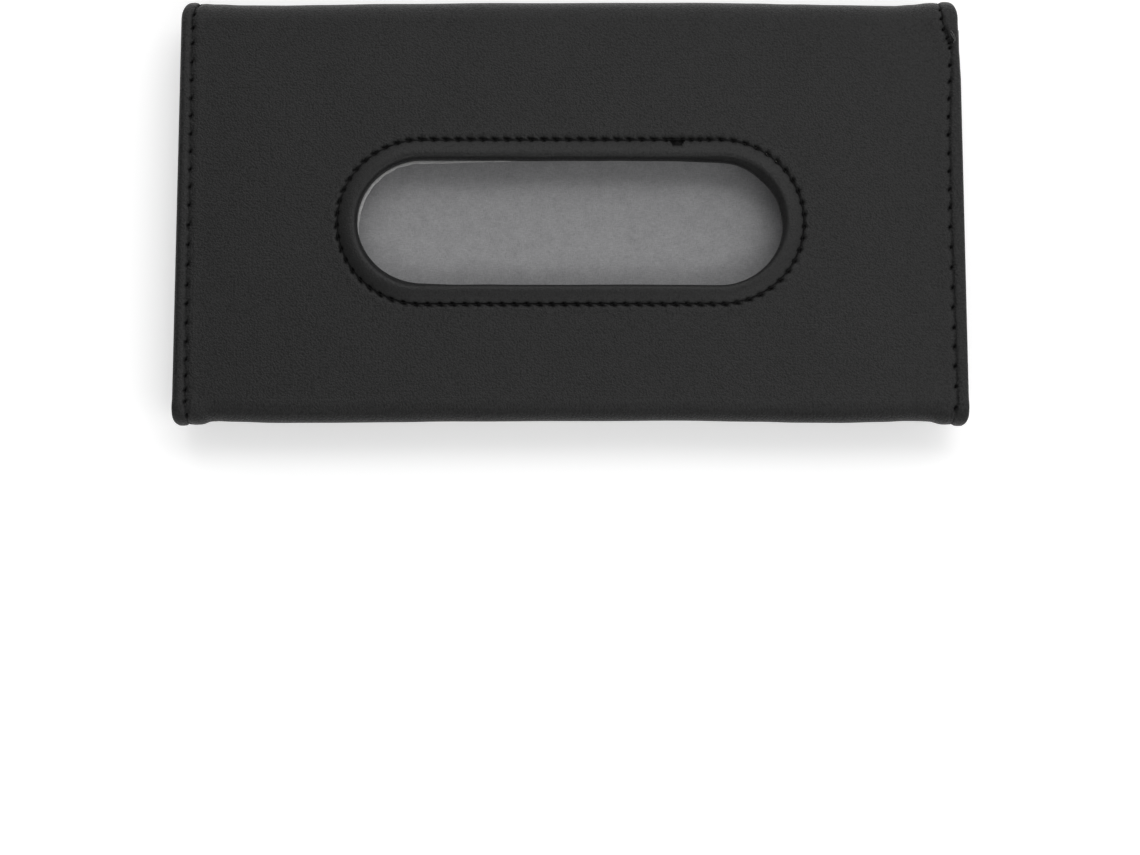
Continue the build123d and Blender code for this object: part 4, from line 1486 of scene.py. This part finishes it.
# threads
def sew(name, spans, place, body, look, bend=None):
    # one arched length of thread for each span; place gives points and outward sides along the seam
    share = np.linspace(0, 1, 9)
    spans = np.array(spans, float)
    q = spans[:, :1] + (spans[:, 1:] - spans[:, :1]) * share[None, :]
    centre, side = place(q.ravel())
    centre, side = centre.reshape(*q.shape, 3), side.reshape(*q.shape, 3)
    ahead = np.gradient(centre, axis=1)
    ahead /= np.linalg.norm(ahead, axis=2, keepdims=True)
    across = np.cross(ahead, side)
    rise = look["lift"] - (look["lift"] + look["sink"]) * np.abs(2 * share - 1) ** look["square"]
    centre = centre + side * rise[None, :, None]
    centre = centre + across * (look["slant"] * (share - 0.5))[None, :, None]
    points, faces = tubes(centre, look["radius"], 7)
    a = np.tile(np.arange(7) * 2 * math.pi / 7, q.size)
    flat = np.stack([np.repeat(q.ravel(), 7), a, 0 * a], -1)
    piece = makePiece(name, points, faces, blackThread, body, flat=flat, bend=bend)
    tidyFaces(piece.data)


threads = {
    "hem": {"radius": 0.2, "lift": -0.16, "sink": 0.62, "square": 7, "slant": 0.3},
    "rim": {"radius": 0.2, "lift": -0.28, "sink": 0.75, "square": 4, "slant": 0.3},
    "back": {"radius": 0.19, "lift": 0.04, "sink": 0.5, "square": 7, "slant": 0.2},
    "flatPitch": 2.8,
}


def hemPlace(side):
    def place(v):
        y, z, ny, nz = casePath(v)
        x = side * seamAcross(side, v)
        high, _ = caseHeight(x, v, ny, nz, holes=False)
        return np.stack([x, y + high * ny, z + high * nz], -1), np.stack([0 * ny, ny, nz], -1)

    return place


for side, name in ((-1, "hemThreadLeft"), (1, "hemThreadRight")):
    sew(name, pairs(holeMarks[side]), hemPlace(side), "front_shell", threads["hem"])


def level(x, y, z, up):
    # points at one height, and the way that their threads stand up
    return np.stack([x, y, z + 0 * x], -1), np.stack([0 * x, 0 * x, up + 0 * x], -1)


def ringPlace(depth, up):
    def place(q):
        x, y, _ = ringPoint(q, rim["width"] + 0.2)
        return level(x, y, case["frontTop"] - depth, up)

    return place


sew("rimThread", pairs(ringMarks), ringPlace(0.24, 1), "front_shell", threads["rim"])
sew("rimThreadInside", pairs(ringMarks), ringPlace(2.84, -1), "front_shell", threads["back"])


def platePlace(walk, spec):
    # along a cover's or lip's seam, as deep in the leather as its ditch
    return lambda q: level(*walk(q).T, spec["outerZ"] + 0.3, -1)


sew("coverThread", pairs(coverMarks), platePlace(coverSeam, coverPlate), "back_cover", threads["back"])
sew("lipThread", pairs(lipMarks), platePlace(lipSeam, lipPlate), "front_shell", threads["back"])


def creasePlace(side):
    def place(v):
        y, z, ny, nz = casePath(v)
        x = side * (110.1 + 0 * v)
        return np.stack([x, y - 0.3 * ny, z - 0.3 * nz], -1), np.stack([0 * ny, ny, nz], -1)

    return place


for side, name in ((-1, "creaseThreadLeft"), (1, "creaseThreadRight")):
    marks = np.array([sideStop - 0.6, creaseAt - 0.1, creaseAt + case["crease"] + 2.0])
    sew(name, pairs(marks), creasePlace(side), None, threads["back"], bend=coverBend)


def runStitches(corners, pitch):
    # a closed or open run of straight stitches through corners, as a walk and its spans
    walk, length = lineWalk(np.array(corners, float))
    count = max(int(round(length / pitch)), 1)
    return walk, pairs(np.linspace(0, length, count + 1))


def sewFlat(name, runs, z, up, body):
    # several straight runs on one flat face joined into one piece
    offset, allSpans, table = 0.0, [], []
    for corners in runs:
        walk, spans = runStitches(corners, threads["flatPitch"])
        allSpans.append(spans + offset)
        table.append((offset, walk))
        offset += spans[-1, 1] + 50.0

    def place(q):
        out = np.zeros((len(q), 2))
        for begin, walk in table:
            on = q >= begin - 1
            out[on] = walk(q[on] - begin)
        return level(*out.T, z, up)

    sew(name, np.concatenate(allSpans), place, body, threads["back"])


def boxRun(cx, cy, width, length):
    w, h = width / 2, length / 2
    return [(cx - w, cy - h), (cx + w, cy - h), (cx + w, cy + h), (cx - w, cy + h), (cx - w, cy - h)]


for name, lowY in anchorY.items():
    feet = [boxRun(side * 24.1, lowY + 5, 3.6, 7.2) for side in (-1, 1)]
    sewFlat(name + "FeetThread", feet, case["coverBottom"] - 0.98, -1, "back_cover")
    bars = [[(-18.5, lowY + 1.4), (18.5, lowY + 1.4)], [(-18.5, lowY + 8.6), (18.5, lowY + 8.6)]]
    sewFlat(name + "BarThread", bars, case["coverBottom"] - 2.2, -1, "back_cover")
p = loopPatch
loopRun = boxRun(*p["centre"], p["width"] - 2.4, p["length"] - 2.4)
sewFlat("loopThread", [loopRun], p["z"] - p["backing"] - 0.03, -1, "back_cover")
p = hookPatch
hookRun = boxRun(*p["centre"], p["width"] - 1.6, p["length"] - 1.6)
sewFlat("hookThread", [hookRun], p["z"] + p["backing"] + 0.03, 1, "tail")
sewFlat("hookThreadOuter", [hookRun], 0.26, -1, "tail")
tabRuns = [[(-8.5, tailEndY + y), (8.5, tailEndY + y)] for y in (3.4, 1.4)]
sewFlat("tabThread", tabRuns, 2.18, 1, "tail")
print("threads ready")

# boards and magnets keep their shapes
keptSolids = {"front_board": pressedBoard, "lip_board": pressedBoard, "cover_board": pressedBoard,
              "lip_magnets": plated, "cover_magnets": plated}
for name, material in keptSolids.items():
    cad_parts[name].data.materials.clear()
    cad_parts[name].data.materials.append(material)

# floor, light and camera
studio = {
    # the floor's rings, (radius, height) in metres: flat, with a raised rim far out
    "floor": ((0.4, 0.0), (1.0, 0.0), (2.0, 0.0), (3.0, 0.0), (3.25, 0.03), (3.42, 0.1), (3.5, 0.2), (3.5, 0.5),
              (3.5, 0.8)),
    "floorSides": 96,
    "floorTone": (0.86, 0.86, 0.86, 1),
    "whiteLift": 0.36,
    "air": 0.11,  # even light from all round
    # more light beyond the case and from the right: (direction from, to, how much)
    "airFar": ((0.0, 0.4, 0.12), (0.4, 1.0, 1.15)),
    "airRight": ((-0.2, 0.4, 0.26), (0.4, 1.0, 0.85)),
    # a painted shadow for mirrored rays: the floor beside the case loses its glow there, so the case mirrors it
    # as shaded: middle, half, fade
    "shade": (-0.04, 0.05, 0.15),
    "farBox": (0.12, 0.54, 1.16, 1.3, 0.5, 5.0),  # x, y, z, width, height, power
    "nearBox": (0.2, -0.62, 1.05, 1.5, 0.4, 5.0),
}


def makeFloor():
    rings, sides = studio["floor"], studio["floorSides"]
    a = np.linspace(0, 2 * math.pi, sides, endpoint=False)
    points = [(0.0, 0.0, 0.0)] + [(r * math.cos(t), r * math.sin(t), h) for r, h in rings for t in a]
    faces = [(0, 1 + i, 1 + (i + 1) % sides) for i in range(sides)]
    faces += (np.array(gridFaces(len(rings), sides, closeColumns=True)) + 1)[:, ::-1].tolist()
    mesh = bpy.data.meshes.new("studioFloor")
    mesh.from_pydata(points, [], faces)
    mesh.shade_smooth()
    floor = bpy.data.objects.new("studioFloor", mesh)
    bpy.context.scene.collection.objects.link(floor)
    material, tree, shader = newMaterial("studioPaper")
    shader.inputs["Base Color"].default_value = studio["floorTone"]
    shader.inputs["Roughness"].default_value = 0.9
    shader.inputs["Specular IOR Level"].default_value = 0.1
    middle, half, fade = studio["shade"]
    place = addNode(tree, "ShaderNodeNewGeometry").outputs["Position"]
    along = addNode(tree, "ShaderNodeSeparateXYZ", {0: place}).outputs[1]
    away = calc(tree, "ABSOLUTE", minus(tree, along, middle))
    rays = addNode(tree, "ShaderNodeLightPath").outputs
    # painted shadow: mirrored rays see the floor's glow only away from the strip in front of the case
    mirrored = times(tree, rays["Is Glossy Ray"], spread(tree, away, half, fade))
    seen = calc(tree, "MAXIMUM", rays["Is Camera Ray"], mirrored)
    seen = calc(tree, "MAXIMUM", seen, rays["Is Transmission Ray"])
    shader.inputs["Emission Color"].default_value = (1, 1, 1, 1)
    tree.links.new(times(tree, seen, studio["whiteLift"]), shader.inputs["Emission Strength"])
    mesh.materials.append(material)


makeFloor()


def addSoftLight(name, x, y, z, width, height, power):
    light = bpy.data.lights.new(name, "AREA")
    light.shape = "RECTANGLE"
    light.size, light.size_y, light.energy = width, height, power
    holder = bpy.data.objects.new(name, light)
    holder.location = (x, y, z)
    holder.rotation_euler = (-Vector((x, y, z))).to_track_quat("-Z", "Y").to_euler()
    bpy.context.scene.collection.objects.link(holder)


addSoftLight("farBox", *studio["farBox"])
addSoftLight("nearBox", *studio["nearBox"])


def makeAir():
    world = bpy.data.worlds.new("studioAir")
    world.use_nodes = True
    tree = world.node_tree
    direction = addNode(tree, "ShaderNodeTexCoord").outputs["Generated"]
    parts = addNode(tree, "ShaderNodeSeparateXYZ", {0: direction}).outputs
    strength = studio["air"]
    for value, ramps in ((parts[1], studio["airFar"]), (parts[0], studio["airRight"])):
        for begin, end, more in ramps:
            strength = plus(tree, strength, spread(tree, value, begin, end, 0.0, more))
    tree.nodes["Background"].inputs["Color"].default_value = (1, 1, 1, 1)
    tree.links.new(strength, tree.nodes["Background"].inputs["Strength"])
    bpy.context.scene.world = world


makeAir()
bpy.context.scene.view_settings.view_transform = "Standard"

view = {"place": (-0.00013, -0.1532, 0.6515), "tilt": 7.9, "lens": 70.15, "sensor": 36.0}
cameraData = bpy.data.cameras.new("camera")
cameraData.lens, cameraData.sensor_width = view["lens"], view["sensor"]
camera = bpy.data.objects.new("camera", cameraData)
camera.location = view["place"]
camera.rotation_euler = (math.radians(view["tilt"]), 0, 0)
bpy.context.scene.collection.objects.link(camera)
bpy.context.scene.camera = camera
print("studio ready")
